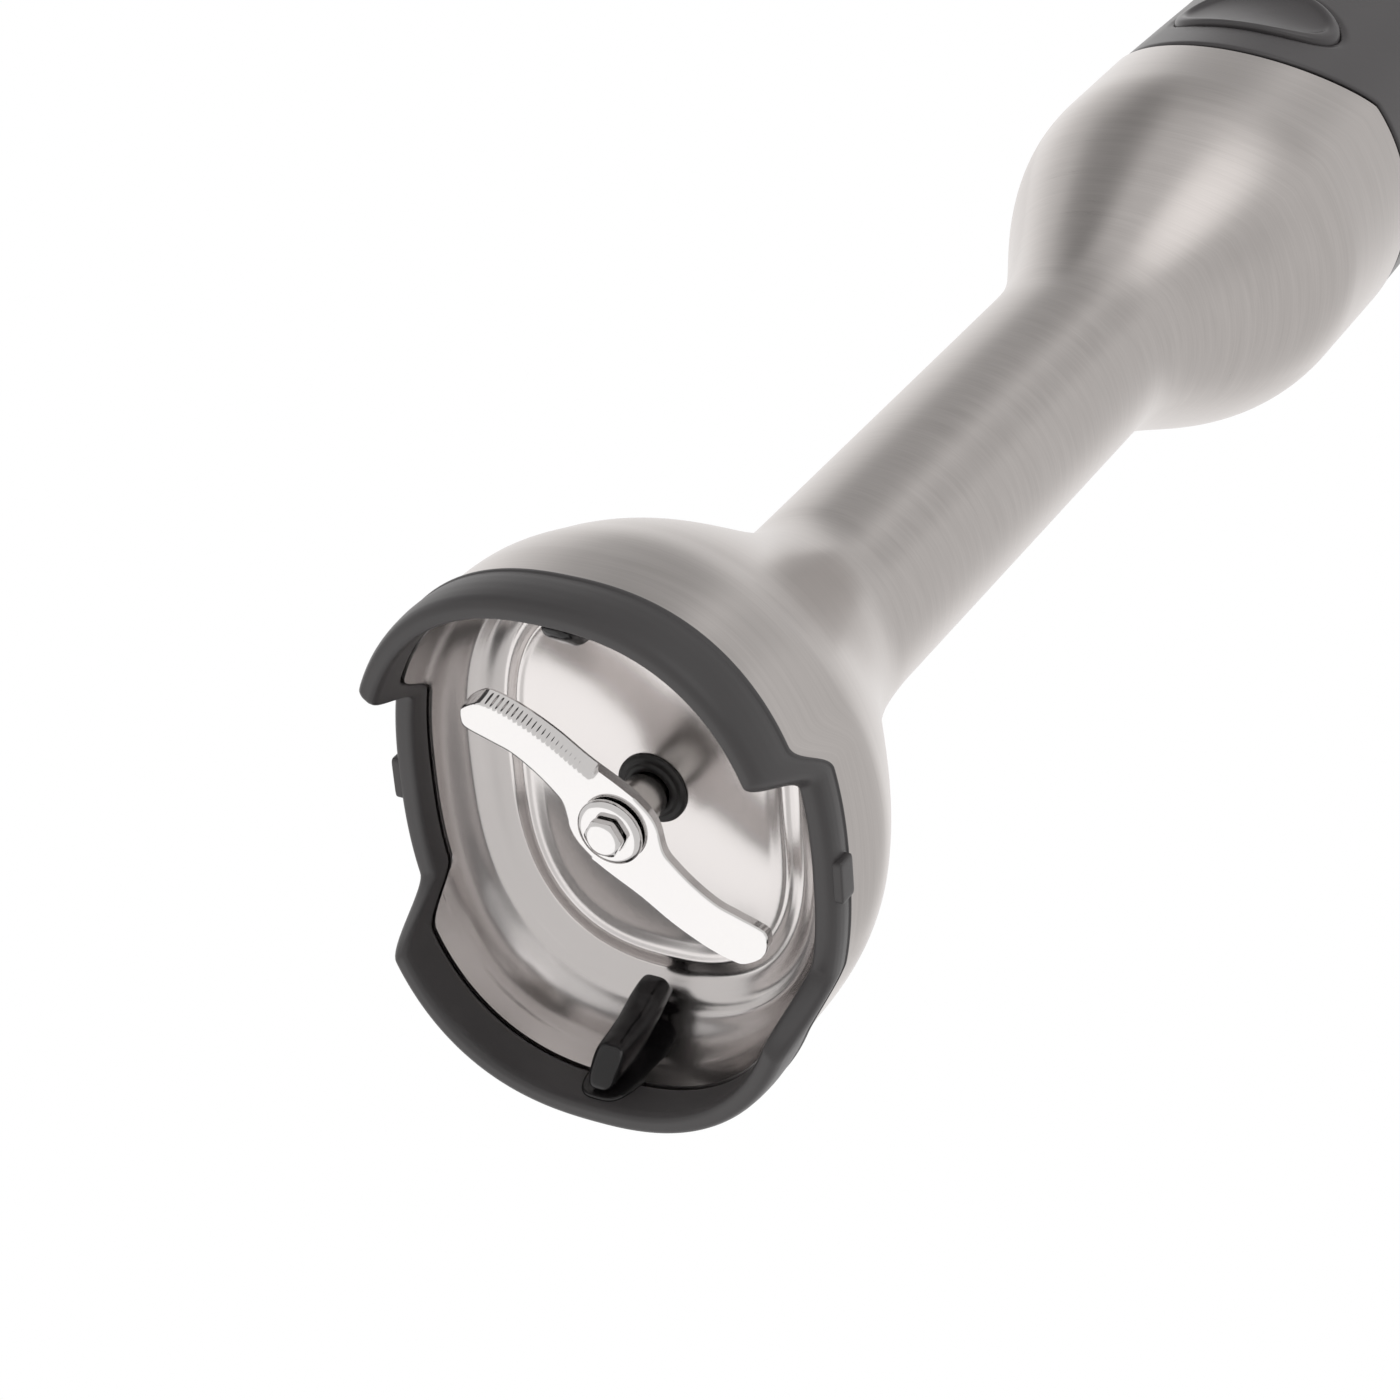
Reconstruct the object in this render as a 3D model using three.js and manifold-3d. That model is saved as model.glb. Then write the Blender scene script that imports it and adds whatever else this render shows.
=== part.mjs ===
// Immersion blender with a bell-shaped foot, a detachable steel shaft and a motor handle.
// Millimetres, +Z up. The origin is the centre of the bell's mouth on the plane of its two feet.
// The feet, the ribs and the release buttons lie on the X axis, the trigger faces -Y.
import * as THREE from 'three';
import { mergeVertices } from 'three/addons/utils/BufferGeometryUtils.js';
import Module from 'manifold-3d';

const wasm = await Module();
wasm.setup();

// Fits
const restGap = 0.3;            // between two pieces that rest on each other
const runGap = 0.4;             // between a moving piece and its neighbour
const roundSides = 16;          // sides of small round pieces
const innerSides = 28;          // sides of the large round pieces inside
const shellSides = 36;          // sides of the handle

// Bell
const mouthFoot = 30.8;         // steel half-width across the feet, above the flattened rim
const mouthNotch = 28.3;        // steel half-width across the notches, above the flattened rim
const rimFoot = 31.2;           // half-widths of the flattened rim
const rimNotch = 25.5;
const rimSquareness = 2.4;      // power of the rim's rounded-oblong outline, 2 for an ellipse
const rimSlope = 0.28;          // how steeply its half-widths change above the rim
const rimFadeStart = 12;        // height where the rim's outline starts to fade
const rimFadeEnd = rimFadeStart + Math.max(Math.abs(rimFoot - mouthFoot), Math.abs(mouthNotch - rimNotch)) / rimSlope;
const steelWall = 0.8;
const linerWall = 0.7;
const linerFit = 0.45;          // between the steel and its liner
const footHalfAngle = 53.5;       // degrees of rim on each side of a foot's middle
const notchStartAngle = 65;     // degrees, where the rim has reached the notch
const notchDepth = 9;
const shoulderFoot = [16, 60];  // heights where the shoulder starts and where it meets the tube
const shoulderNotch = [13, 54];
const ceilingHeight = 18.5;
const rimBlend = 22;            // height above which the notch no longer moves the mesh rows

// Tube and bulb
const tubeRadius = 12;
const bulbFoot = 24.0;
const bulbNotch = 23.6;
const bulbRiseFoot = [124, 164];
const bulbRiseNotch = [127, 166];
const seamHeight = 184;         // joint between shaft and handle, front and back
const seamDip = 10.5;           // how much lower it runs under the release buttons
const seamHalfAngle = 54;
const seamGasket = 0.9;

// Rim guard, measured across the feet
const guardHeight = 7;
const guardNotchShare = 0.55;   // its height in a notch as a share of its height on a foot
const guardInnerHeight = 5.6;
const guardFloor = 1.6;
const guardOuterWall = 0.7;
const guardInnerWall = 0.8;
const guardFit = 0.2;
const tabWidth = 5;
const tabHeight = 2.6;
const tabMiddle = 1.8;          // height of a tab's middle above the notch
const tabThickness = 0.6;

// Blade
const bladeHeight = 9.8;
const bladeThickness = 1.2;
const bladeReach = 20.5;
const bladeTurn = -56;          // degrees, direction of one arm at rest
const washerRadius = 3.85;
const washerThickness = 0.9;
const nutFlats = 4.0;
const nutThickness = 1.0;
const shaftRadius = 2.0;
const spacerRadius = 2.9;

// Shaft internals
const sealRadius = 3.6;
const carrierRadius = 9.4;
const carrierWall = 2.0;
const bushRadius = 5.5;
const bushLength = 14;
const collarRadius = 18.4;
const collarTop = 197;
const grooveHeight = 187.2;     // middle of the locking groove round the shaft's neck
const couplingTop = 193;

// Handle
const collarSplit = 212;        // top of the lower handle collar
const shellWall = 2.2;
const shellTop = 384;
const capTop = 393;
const dialRadius = 14.5;
const dialForward = 8;          // how far the dial's axis lies in front of the handle's middle
const dialTop = 402;
const glandBack = 18.5;         // how far the cord inlet lies behind it
const buttonHeight = 189.5;     // middle of a release button
const buttonWidth = 23;
const buttonTall = 15;
const buttonProud = 0.5;
const buttonWall = 1.8;         // how far its back lies under the handle's surface
const socketWall = 0.9;
const screwPost = 2.2;          // radius of the posts that the housing screws bite into

// Motor
const motorRadius = 17.6;
const motorBottom = 222;
const motorTop = 282;
const motorWall = 1.2;
const magnetWall = 2.2;
const armatureGap = 1.6;        // air between armature and magnets
const armatureRadius = motorRadius - motorWall - magnetWall - armatureGap;
const motorShaftRadius = 2.2;

// Trigger and controls
const triggerBottom = 286;
const triggerTop = 326;
const triggerWidth = 19;
const triggerPivotHeight = 321;
const triggerSwing = 1.0;       // how far its lower end drops over its 5 degree travel, with clearance
const boardThickness = 1.6;

const radians = (degrees) => degrees * Math.PI / 180;
const mix = (a, b, t) => a + (b - a) * t;
const smooth = (low, high, x) => {
  const t = Math.min(Math.max((x - low) / (high - low), 0), 1);
  return t * t * (3 - 2 * t);
};

// ---------------------------------------------------------------- solids

// A closed geometry from points and faces of three or four corners. The sign of the volume
// tells whether the faces look in or out, and they are turned to look out.
function closedGeometry(points, faces) {
  const index = [];
  for (const [a, b, c, d] of faces) {
    index.push(a, b, c);
    if (d !== undefined) index.push(a, c, d);
  }
  let volume = 0;
  for (let i = 0; i < index.length; i += 3) {
    const [a, b, c] = [points[index[i]], points[index[i + 1]], points[index[i + 2]]];
    volume += a.dot(new THREE.Vector3().crossVectors(b, c));
  }
  if (volume < 0) index.reverse();
  const geometry = new THREE.BufferGeometry();
  geometry.setAttribute('position', new THREE.Float32BufferAttribute(points.flatMap((p) => p.toArray()), 3));
  geometry.setIndex(index);
  return geometry;
}

// A wall between an outer and an inner surface. Both are functions of u and v from 0 to 1;
// a wall that goes all the way round closes on itself in u.
function wall(outer, inner, uSteps, vSteps, goesRound = true) {
  const points = [];
  const columns = goesRound ? uSteps : uSteps + 1;
  const side = columns * (vSteps + 1);
  for (const surface of [outer, inner]) {
    for (let j = 0; j <= vSteps; j++) {
      for (let i = 0; i < columns; i++) points.push(surface(i / uSteps, j / vSteps));
    }
  }
  const at = (layer, i, j) => layer * side + j * columns + (i % columns);
  const quads = [];
  for (let i = 0; i < uSteps; i++) {
    for (let j = 0; j < vSteps; j++) {
      quads.push([at(0, i, j), at(0, i + 1, j), at(0, i + 1, j + 1), at(0, i, j + 1)]);
      quads.push([at(1, i, j), at(1, i, j + 1), at(1, i + 1, j + 1), at(1, i + 1, j)]);
    }
    quads.push([at(0, i, 0), at(1, i, 0), at(1, i + 1, 0), at(0, i + 1, 0)]);
    quads.push([at(0, i, vSteps), at(0, i + 1, vSteps), at(1, i + 1, vSteps), at(1, i, vSteps)]);
  }
  if (!goesRound) {
    for (let j = 0; j < vSteps; j++) {
      quads.push([at(0, 0, j), at(0, 0, j + 1), at(1, 0, j + 1), at(1, 0, j)]);
      quads.push([at(0, uSteps, j), at(1, uSteps, j), at(1, uSteps, j + 1), at(0, uSteps, j + 1)]);
    }
  }
  return closedGeometry(points, quads);
}

// A closed profile carried round the axis: profile(u) gives the loop of points at turn u.
function ringOfProfiles(profile, steps) {
  const loops = [];
  for (let i = 0; i < steps; i++) loops.push(profile(i / steps));
  const count = loops[0].length;
  const quads = [];
  for (let i = 0; i < steps; i++) {
    for (let j = 0; j < count; j++) {
      const [a, b] = [i * count, ((i + 1) % steps) * count];
      const next = (j + 1) % count;
      quads.push([a + j, b + j, b + next, a + next]);
    }
  }
  return closedGeometry(loops.flat(), quads);
}

// A turned piece from [radius, height] pairs that close on themselves, or start and end on the axis.
function turned(profile, sides = roundSides) {
  const points = profile.map(([r, z]) => new THREE.Vector2(r, z));
  if (points[0].x > 0) points.push(points[0].clone());
  const geometry = new THREE.LatheGeometry(points, sides);
  geometry.rotateX(Math.PI / 2);
  return facingOut(geometry);
}

function facingOut(geometry) {
  const merged = welded(geometry);
  const position = merged.getAttribute('position');
  const points = [];
  for (let i = 0; i < position.count; i++) points.push(new THREE.Vector3().fromBufferAttribute(position, i));
  const faces = [];
  for (let i = 0; i < merged.index.count; i += 3) {
    const corners = [0, 1, 2].map((k) => merged.index.getX(i + k));
    if (new Set(corners).size === 3) faces.push(corners);
  }
  return closedGeometry(points, faces);
}

function welded(geometry) {
  const copy = geometry.clone();
  copy.deleteAttribute('normal');
  copy.deleteAttribute('uv');
  return mergeVertices(copy, 1e-4);
}

const tube = (outer, inner, low, high, sides) => turned([[inner, low], [outer, low], [outer, high], [inner, high]], sides);
const rod = (radius, low, high, sides) => turned([[0, low], [radius, low], [radius, high], [0, high]], sides);

function block(width, depth, height, x = 0, y = 0, z = 0) {
  return welded(new THREE.BoxGeometry(width, depth, height).translate(x, y, z));
}

function extruded(shape, depth, curveSegments = 12) {
  return facingOut(new THREE.ExtrudeGeometry(shape, { depth, bevelEnabled: false, curveSegments }));
}

function manifoldOf(geometry) {
  const merged = welded(geometry);
  return new wasm.Manifold(new wasm.Mesh({
    numProp: 3,
    vertProperties: new Float32Array(merged.getAttribute('position').array),
    triVerts: new Uint32Array(merged.index.array),
  }));
}

function geometryOf(manifold) {
  const mesh = manifold.getMesh();
  const geometry = new THREE.BufferGeometry();
  geometry.setAttribute('position', new THREE.BufferAttribute(new Float32Array(mesh.vertProperties), 3));
  geometry.setIndex(new THREE.BufferAttribute(new Uint32Array(mesh.triVerts), 1));
  return geometry;
}

const cut = (body, ...tools) => geometryOf(tools.reduce((left, tool) => left.subtract(manifoldOf(tool)), manifoldOf(body)));
const join = (body, ...others) => geometryOf(others.reduce((left, other) => left.add(manifoldOf(other)), manifoldOf(body)));
const overlap = (body, other) => geometryOf(manifoldOf(body).intersect(manifoldOf(other)));

// ---------------------------------------------------------------- outer shape

// How far round from the nearest foot a direction lies, 0 to 90 degrees.
const awayFromFoot = (phi) => Math.abs(Math.atan2(Math.sin(phi), Math.abs(Math.cos(phi)))) * 180 / Math.PI;
const inNotch = (phi) => smooth(footHalfAngle, notchStartAngle, awayFromFoot(phi));
const rimRise = (phi) => notchDepth * inNotch(phi);

// The guard is lower in a notch than on a foot.
const guardLevel = (phi, height) => rimRise(phi) + height * mix(1, guardNotchShare, inNotch(phi));

// Turns at which the bell is sampled: a few wide steps along a foot and a notch, close steps on a ramp.
const quarterTurns = [0, 13, 26, 39, footHalfAngle, mix(footHalfAngle, notchStartAngle, 0.25),
  mix(footHalfAngle, notchStartAngle, 0.5), mix(footHalfAngle, notchStartAngle, 0.75), notchStartAngle, 71, 80];
const rimTurns = [];
for (const half of [0, 180]) {
  for (const turn of quarterTurns) rimTurns.push(radians(half + turn));
  rimTurns.push(radians(half + 90));
  for (const turn of quarterTurns.slice(1).reverse()) rimTurns.push(radians(half + 180 - turn));
}
const rimPhi = (u) => rimTurns[Math.round(u * rimTurns.length) % rimTurns.length];

// Seam between shaft and handle: level at front and back, dipping under each button.
function seamAt(phi) {
  const away = awayFromFoot(phi) / seamHalfAngle;
  return away < 1 ? seamHeight - seamDip * (1 - away * away) ** 1.15 : seamHeight;
}

// Half-width of the steel at a height, along the feet and along the notches.
function steelAlong(height, mouth, shoulder, rise, bulb) {
  const bell = mix(mouth, tubeRadius, smooth(...shoulder, height));
  return height < 90 ? bell : mix(tubeRadius, bulb, smooth(...rise, height));
}

function steelRadius(height, phi) {
  const foot = steelAlong(height, mouthFoot, shoulderFoot, bulbRiseFoot, bulbFoot);
  const notch = steelAlong(height, mouthNotch, shoulderNotch, bulbRiseNotch, bulbNotch);
  const rim = (Math.abs(Math.cos(phi) / rimFoot) ** rimSquareness
    + Math.abs(Math.sin(phi) / rimNotch) ** rimSquareness) ** (-1 / rimSquareness);
  return mix(rim, mix(foot, notch, Math.sin(phi) ** 2), smooth(rimFadeStart, rimFadeEnd, height));
}

// Handle cross-section: half-width, half-depth and how far its middle leans to the back.
const handleStations = [
  { z: 172, width: 24.0, depth: 23.6, lean: 0 },
  { z: 192, width: 23.4, depth: 23.4, lean: 0 },
  { z: 214, width: 22.8, depth: 23.2, lean: 0 },
  { z: 262, width: 22.4, depth: 23.6, lean: 0.6 },
  { z: 306, width: 24.0, depth: 26.4, lean: 1.6 },
  { z: 346, width: 27.0, depth: 30.4, lean: 1.6 },
  { z: 374, width: 28.6, depth: 32.6, lean: 0 },
  { z: 384, width: 28.2, depth: 32.0, lean: 0 },
  { z: 393, width: 25.2, depth: 28.6, lean: 0 },
];

function handleSection(height) {
  const last = handleStations.length - 1;
  let k = 0;
  while (k < last - 1 && height > handleStations[k + 1].z) k++;
  const at = (i) => handleStations[Math.min(Math.max(i, 0), last)];
  const t = Math.min(Math.max((height - at(k).z) / (at(k + 1).z - at(k).z), 0), 1);
  const span = at(k + 1).z - at(k).z;
  const section = {};
  for (const name of ['width', 'depth', 'lean']) {
    const slope = (i) => (at(i + 1)[name] - at(i - 1)[name]) / Math.max(at(i + 1).z - at(i - 1).z, 1);
    const [a, b, c, d] = [at(k)[name], at(k + 1)[name], slope(k) * span, slope(k + 1) * span];
    section[name] = a + t * (c + t * (3 * (b - a) - 2 * c - d + t * (2 * (a - b) + c + d)));
  }
  return section;
}

function handlePoint(phi, height, inset = 0) {
  const { width, depth, lean } = handleSection(height);
  return new THREE.Vector3((width - inset) * Math.cos(phi), lean + (depth - inset) * Math.sin(phi), height);
}

// ---------------------------------------------------------------- shaft

// The rows crowd where the bell and the bulb curve; the straight tube needs only its two ends.
function shaftHousing() {
  const bellRows = 10;
  const bulbRows = 8;
  const bottom = guardFloor + restGap;
  const tubeStart = shoulderFoot[1];
  const tubeEnd = bulbRiseFoot[0];
  const rows = bellRows + 1 + bulbRows;
  const levelAt = (row, top) => {
    if (row <= bellRows) return mix(bottom, tubeStart, row / bellRows);
    return mix(tubeEnd, top, (row - bellRows - 1) / bulbRows);
  };
  const place = (inset) => (u, v) => {
    const phi = rimPhi(u);
    const level = levelAt(Math.round(v * rows), seamAt(phi));
    const lift = rimRise(phi) * Math.max(0, (rimBlend - level) / (rimBlend - bottom));
    const height = level + lift;
    const radius = steelRadius(height, phi) - inset;
    return new THREE.Vector3(radius * Math.cos(phi), radius * Math.sin(phi), height);
  };
  return wall(place(0), place(steelWall), rimTurns.length, rows);
}

// The liner is one pressed cup: wall, rounded ring at its corner, flat ceiling and a turned-up hole.
function bellLiner() {
  const wallInset = steelWall + linerFit + linerWall;
  const lower = guardInnerHeight + restGap;
  const ringHeight = 3.4;
  const ringReach = 5.2;
  const wallTop = ceilingHeight - ringHeight;
  const profile = (offset) => (u, v) => {
    const phi = rimPhi(u);
    const side = (height) => steelRadius(Math.min(height, wallTop), phi) - wallInset + offset;
    let radius;
    let height;
    if (v < 0.25) {
      height = mix(guardLevel(phi, lower), wallTop, v / 0.25);
      radius = side(height);
    } else if (v < 0.875) {
      const turn = (v - 0.25) / 0.5 * Math.PI / 2;
      height = wallTop + (ringHeight + offset) * Math.sin(turn);
      radius = Math.min(side(wallTop) - (ringReach + offset) * (1 - Math.cos(turn)),
        steelRadius(height, phi) - wallInset + offset);
    } else {
      height = ceilingHeight + offset;
      radius = sealRadius + restGap;
    }
    return new THREE.Vector3(radius * Math.cos(phi), radius * Math.sin(phi), height);
  };
  return wall(profile(linerWall), profile(0), rimTurns.length, 8);
}

// U-shaped moulding clipped on the rim, with a bulging outer wall and a locking tab in each notch.
function rimGuard() {
  const loop = (u) => {
    const phi = rimPhi(u);
    const outer = guardFit + guardOuterWall;
    const channel = -steelWall - guardFit;
    const inner = channel - guardInnerWall;
    return [
      [outer - 0.8, 0], [outer - 0.15, 1.2], [outer, 3.4], [outer - 0.25, guardHeight],
      [guardFit, guardHeight], [guardFit, guardFloor], [channel, guardFloor],
      [channel, guardInnerHeight], [inner + 0.2, guardInnerHeight], [inner, 2.4], [inner + 0.35, 0],
    ].map(([offset, z]) => {
      const height = guardLevel(phi, z);
      const radius = steelRadius(height, phi) + offset;
      return new THREE.Vector3(radius * Math.cos(phi), radius * Math.sin(phi), height);
    });
  };
  const body = ringOfProfiles(loop, rimTurns.length);
  const tabs = [-1, 1].map((side) => block(tabWidth, tabThickness * 2, tabHeight,
    0, side * (rimNotch + guardFit + guardOuterWall - 0.1), notchDepth + tabMiddle));
  return join(body, ...tabs);
}

// A rib stands on a flat base that runs down the liner's wall under the ceiling.
function antiSuctionRib(side) {
  const top = ceilingHeight - 4.4;
  const wallFace = steelRadius(top + 0.4, 0) - steelWall - linerFit - linerWall - restGap;
  const base = block(1.3, 6.6, top - guardInnerHeight + 4.2, wallFace - 0.9, 0, (top + guardInnerHeight - 4.2) / 2 + 0.4);
  const bar = block(4.2, 3.4, top - guardInnerHeight + 1.6, wallFace - 3.1, 0, (top + guardInnerHeight - 1.4) / 2 + 0.6);
  const rib = cut(join(base, bar), block(9, 9, 9, wallFace - 1, 0, -4.5 + 0.9));
  return side > 0 ? rib : rib.rotateZ(Math.PI);
}

function shaftSeal() {
  const low = ceilingHeight - 0.5;
  return turned([[shaftRadius + 0.1, low + 0.6], [sealRadius - 0.6, low - 0.2], [sealRadius, low + 0.2],
    [sealRadius, low + 4.4], [shaftRadius + 1, low + 4.4], [shaftRadius + 0.1, low + 2.4]]);
}

function bearingCarrier() {
  const low = ceilingHeight + 9;
  const high = 158;
  return turned([
    [bushRadius + restGap, low], [carrierRadius - 0.6, low], [carrierRadius, low + 3], [carrierRadius, high],
    [bushRadius + restGap, high], [bushRadius + restGap, high - bushLength - 1],
    [carrierRadius - carrierWall, high - bushLength - 5], [carrierRadius - carrierWall, low + bushLength + 5],
    [bushRadius + restGap, low + bushLength + 1],
  ]);
}

const lowerBush = () => tube(bushRadius, shaftRadius + 0.05, ceilingHeight + 9.4, ceilingHeight + 9.4 + bushLength);
const upperBush = () => tube(bushRadius, shaftRadius + 0.05, 158 - bushLength, 157.6);

// Ribbed plug in the top of the bulb. Its neck enters the handle and carries the locking groove.
function shaftCollar() {
  const plug = steelRadius(168, Math.PI / 2) - steelWall - restGap;
  return turned([
    [couplingBore(), 161], [plug - 6, 161], [plug - 1.2, 166], [plug - 1.2, 172], [collarRadius, 172.4],
    [collarRadius, grooveHeight - 2.2], [collarRadius - 1.6, grooveHeight - 1.4],
    [collarRadius - 1.6, grooveHeight + 1.4], [collarRadius, grooveHeight + 2.2],
    [collarRadius, collarTop - 1], [collarRadius - 1, collarTop], [couplingBore(), collarTop],
  ], innerSides);
}

const couplingBore = () => 9.6 + runGap + 0.6;

// ---------------------------------------------------------------- drive line

// Two-armed S blade. One arm is drawn and turned half a turn for the other.
function blade() {
  const shape = new THREE.Shape();
  const arm = (turn) => {
    const at = (x, y) => [x * turn, y * turn];
    const curve = (a, b, c) => shape.bezierCurveTo(...at(...a), ...at(...b), ...at(...c));
    shape.lineTo(...at(2.6, 5.0));
    curve([7.2, 5.2], [14.4, 5.8], [bladeReach - 0.6, 2.6]);
    curve([bladeReach + 0.2, 1.6], [bladeReach, -0.4], [bladeReach - 1.4, -2.2]);
    curve([16.4, -3.0], [14.6, -1.2], [10.6, -1.2]);
    curve([7.4, -1.2], [5.6, -2.4], [4.4, -3.6]);
  };
  shape.moveTo(-4.4, 3.6);
  shape.quadraticCurveTo(-1.6, 5.6, 2.6, 5.0);
  arm(1);
  shape.quadraticCurveTo(1.6, -5.6, -2.6, -5.0);
  arm(-1);
  const plate = extruded(shape, bladeThickness, 8).translate(0, 0, bladeHeight);
  const bore = rod(shaftRadius * 0.75 + 0.3, bladeHeight - 1, bladeHeight + bladeThickness + 1);
  return cut(plate, bore).rotateZ(radians(bladeTurn));
}

const bladeWasher = () => turned([[shaftRadius * 0.75 + 0.3, bladeHeight - washerThickness - restGap],
  [washerRadius - 0.5, bladeHeight - washerThickness - restGap], [washerRadius, bladeHeight - restGap - 0.3],
  [washerRadius, bladeHeight - restGap], [shaftRadius * 0.75 + 0.3, bladeHeight - restGap]]);

function bladeNut() {
  const top = bladeHeight - washerThickness - 2 * restGap;
  return turned([[0, top - nutThickness], [nutFlats / Math.sqrt(3) - 0.3, top - nutThickness],
    [nutFlats / Math.sqrt(3), top - nutThickness + 0.3], [nutFlats / Math.sqrt(3), top], [0, top]], 6);
}

function driveShaft() {
  const thread = shaftRadius * 0.75;
  const shoulder = bladeHeight + bladeThickness + restGap;
  return turned([[0, bladeHeight - washerThickness - restGap - 0.1], [thread, bladeHeight - washerThickness - restGap - 0.1],
    [thread, shoulder], [shaftRadius, shoulder], [shaftRadius, 178], [0, 178]], 20);
}

const bladeSpacer = () => turned([[shaftRadius + 0.1, bladeHeight + bladeThickness + restGap],
  [spacerRadius, bladeHeight + bladeThickness + restGap], [spacerRadius, bladeHeight + bladeThickness + 1.6],
  [shaftRadius + 0.5, ceilingHeight - 1.4], [shaftRadius + 0.1, ceilingHeight - 1.4]]);

const thrustRing = () => tube(4.2, shaftRadius + 0.1, 158.4, 160.2);

const couplingFlats = 7;

function drivenCoupling() {
  const body = turned([[0, 178.3], [7.4, 178.3], [9.6, 181], [9.6, couplingTop], [0, couplingTop]], 24);
  const socket = rod((couplingFlats + 2 * runGap) / Math.sqrt(3), 183.5, couplingTop + 1, 6);
  const below = rod(shaftRadius + 0.1, 170, 178.31, 20);
  return cut(join(body, tube(4.5, shaftRadius + 0.1, 172, 178.31, 20)), socket, below);
}

function driveCoupling() {
  const nose = rod(couplingFlats / Math.sqrt(3), 184.5, 195, 6);
  const flange = rod(8.6, 194.9, 204, 24);
  return cut(join(nose, flange), rod(motorShaftRadius + 0.1, 198, 205, 20));
}

// ---------------------------------------------------------------- motor

const motorShaft = () => rod(motorShaftRadius, 198.4, motorTop + 7, 20);
const motorCan = () => cut(turned([[motorRadius - motorWall, motorBottom], [motorRadius, motorBottom],
  [motorRadius, motorTop], [7.4, motorTop], [7.4, motorTop - motorWall], [motorRadius - motorWall, motorTop - motorWall]], innerSides),
...[0, 1].map((k) => block(8, 5, 8, 0, (k * 2 - 1) * (motorRadius - 0.5), motorTop - 12)));

function motorEndPlate() {
  return turned([[5.6, motorBottom + restGap], [motorRadius - motorWall - restGap, motorBottom + restGap],
    [motorRadius - motorWall - restGap, motorBottom + 2.3], [7.4, motorBottom + 2.3], [7.4, motorBottom + 6], [5.6, motorBottom + 6]], innerSides);
}

function magnet(side) {
  const outer = motorRadius - motorWall - restGap;
  const span = radians(62);
  const face = (radius) => (u, v) => {
    const phi = side * Math.PI / 2 + mix(-span, span, u);
    return new THREE.Vector3(radius * Math.cos(phi), radius * Math.sin(phi), mix(motorBottom + 10, motorTop - 20, v));
  };
  return wall(face(outer), face(outer - magnetWall), 14, 1, false);
}

// Laminated core with slots, and the copper windings filling them at both ends.
function armatureCore() {
  const slots = [];
  for (let k = 0; k < 10; k++) slots.push(block(3.4, 1.6, 60, armatureRadius - 0.6, 0, 248).rotateZ(k * Math.PI / 5));
  return cut(tube(armatureRadius, motorShaftRadius + 0.1, motorBottom + 13, motorTop - 24, 40), ...slots);
}

const winding = (low, high) => turned([[motorShaftRadius + 1.2, low], [9.4, low], [10.6, low + 1.2], [10.6, high - 1.2],
  [9.4, high], [motorShaftRadius + 1.2, high]], 18);
const commutator = () => tube(5.6, motorShaftRadius + 0.1, motorTop - 15, motorTop - 6);
const bearing = (low) => turned([[motorShaftRadius + 0.05, low], [5.3, low], [5.3, low + 4.4], [motorShaftRadius + 0.05, low + 4.4]]);
const brush = (side) => block(6.6, 3.6, 5, side * (5.6 + restGap + 3.3), 0, motorTop - 10.5);
const bearingBridge = () => turned([[5.6, motorTop + restGap], [9, motorTop + restGap], [9, motorTop + 2],
  [7.2, motorTop + 7.4], [5.6, motorTop + 7.4]], innerSides);

// Centrifugal fan: a disc with curved blades.
function coolingFan() {
  const parts = [];
  const fanBlades = 7;
  for (let k = 0; k < fanBlades; k++) parts.push(block(9, 1.1, 6.4, 11, 0, 212.6).rotateZ(k * 2 * Math.PI / fanBlades));
  return join(tube(15.8, motorShaftRadius + 0.1, 208.2, 209.6, innerSides), tube(6.6, motorShaftRadius + 0.1, 209.4, 215.8), ...parts);
}

const mountRing = (low) => {
  const { width } = handleSection(low + 3);
  return tube(width - shellWall - restGap - 0.2, motorRadius + restGap, low, low + 6, innerSides);
};

// ---------------------------------------------------------------- handle

// Oval window for a release button, cut along X. grow widens it all round.
function buttonOval(side, from, to, grow = 0) {
  const shape = new THREE.Shape();
  shape.absellipse(0, 0, buttonWidth / 2 + grow, buttonTall / 2 + grow, 0, 2 * Math.PI);
  const geometry = extruded(shape, to - from, 8);
  geometry.applyMatrix4(new THREE.Matrix4().makeBasis(
    new THREE.Vector3(0, side, 0), new THREE.Vector3(0, 0, 1), new THREE.Vector3(side, 0, 0)));
  return geometry.translate(side * from, 0, buttonHeight);
}

function handleCollar() {
  const surface = (inset) => (u, v) => {
    const phi = rimPhi(u);
    const height = mix(seamAt(phi) + seamGasket + restGap, collarSplit, v);
    return handlePoint(phi, height, inset);
  };
  const ring = wall(surface(0), surface(shellWall), rimTurns.length, 3);
  return cut(ring, buttonOval(1, 14, 30, runGap), buttonOval(-1, 14, 30, runGap));
}

function seamRing() {
  const surface = (inset) => (u, v) => {
    const phi = rimPhi(u);
    const height = mix(seamAt(phi) + restGap, seamAt(phi) + seamGasket, v);
    return handlePoint(phi, height, inset);
  };
  return wall(surface(0.35), surface(shellWall), rimTurns.length, 1);
}

// Fixed socket inside the collar that the shaft's neck slides into, open behind each button.
function shaftSocket() {
  const outer = handleSection(200).width - shellWall - 2 * restGap;
  const bore = collarRadius + runGap;
  const body = turned([[bore, 176.5], [bore + socketWall, 176.5], [bore + socketWall, 198.4],
    [outer, 199.6], [outer, 203], [9.6, 203], [9.6, 201], [bore, collarTop + runGap + 0.8]], innerSides);
  return cut(body, ...[1, -1].map((side) => block(8, 9, 7, side * (collarRadius + 1.6), 0, grooveHeight)));
}

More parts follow.
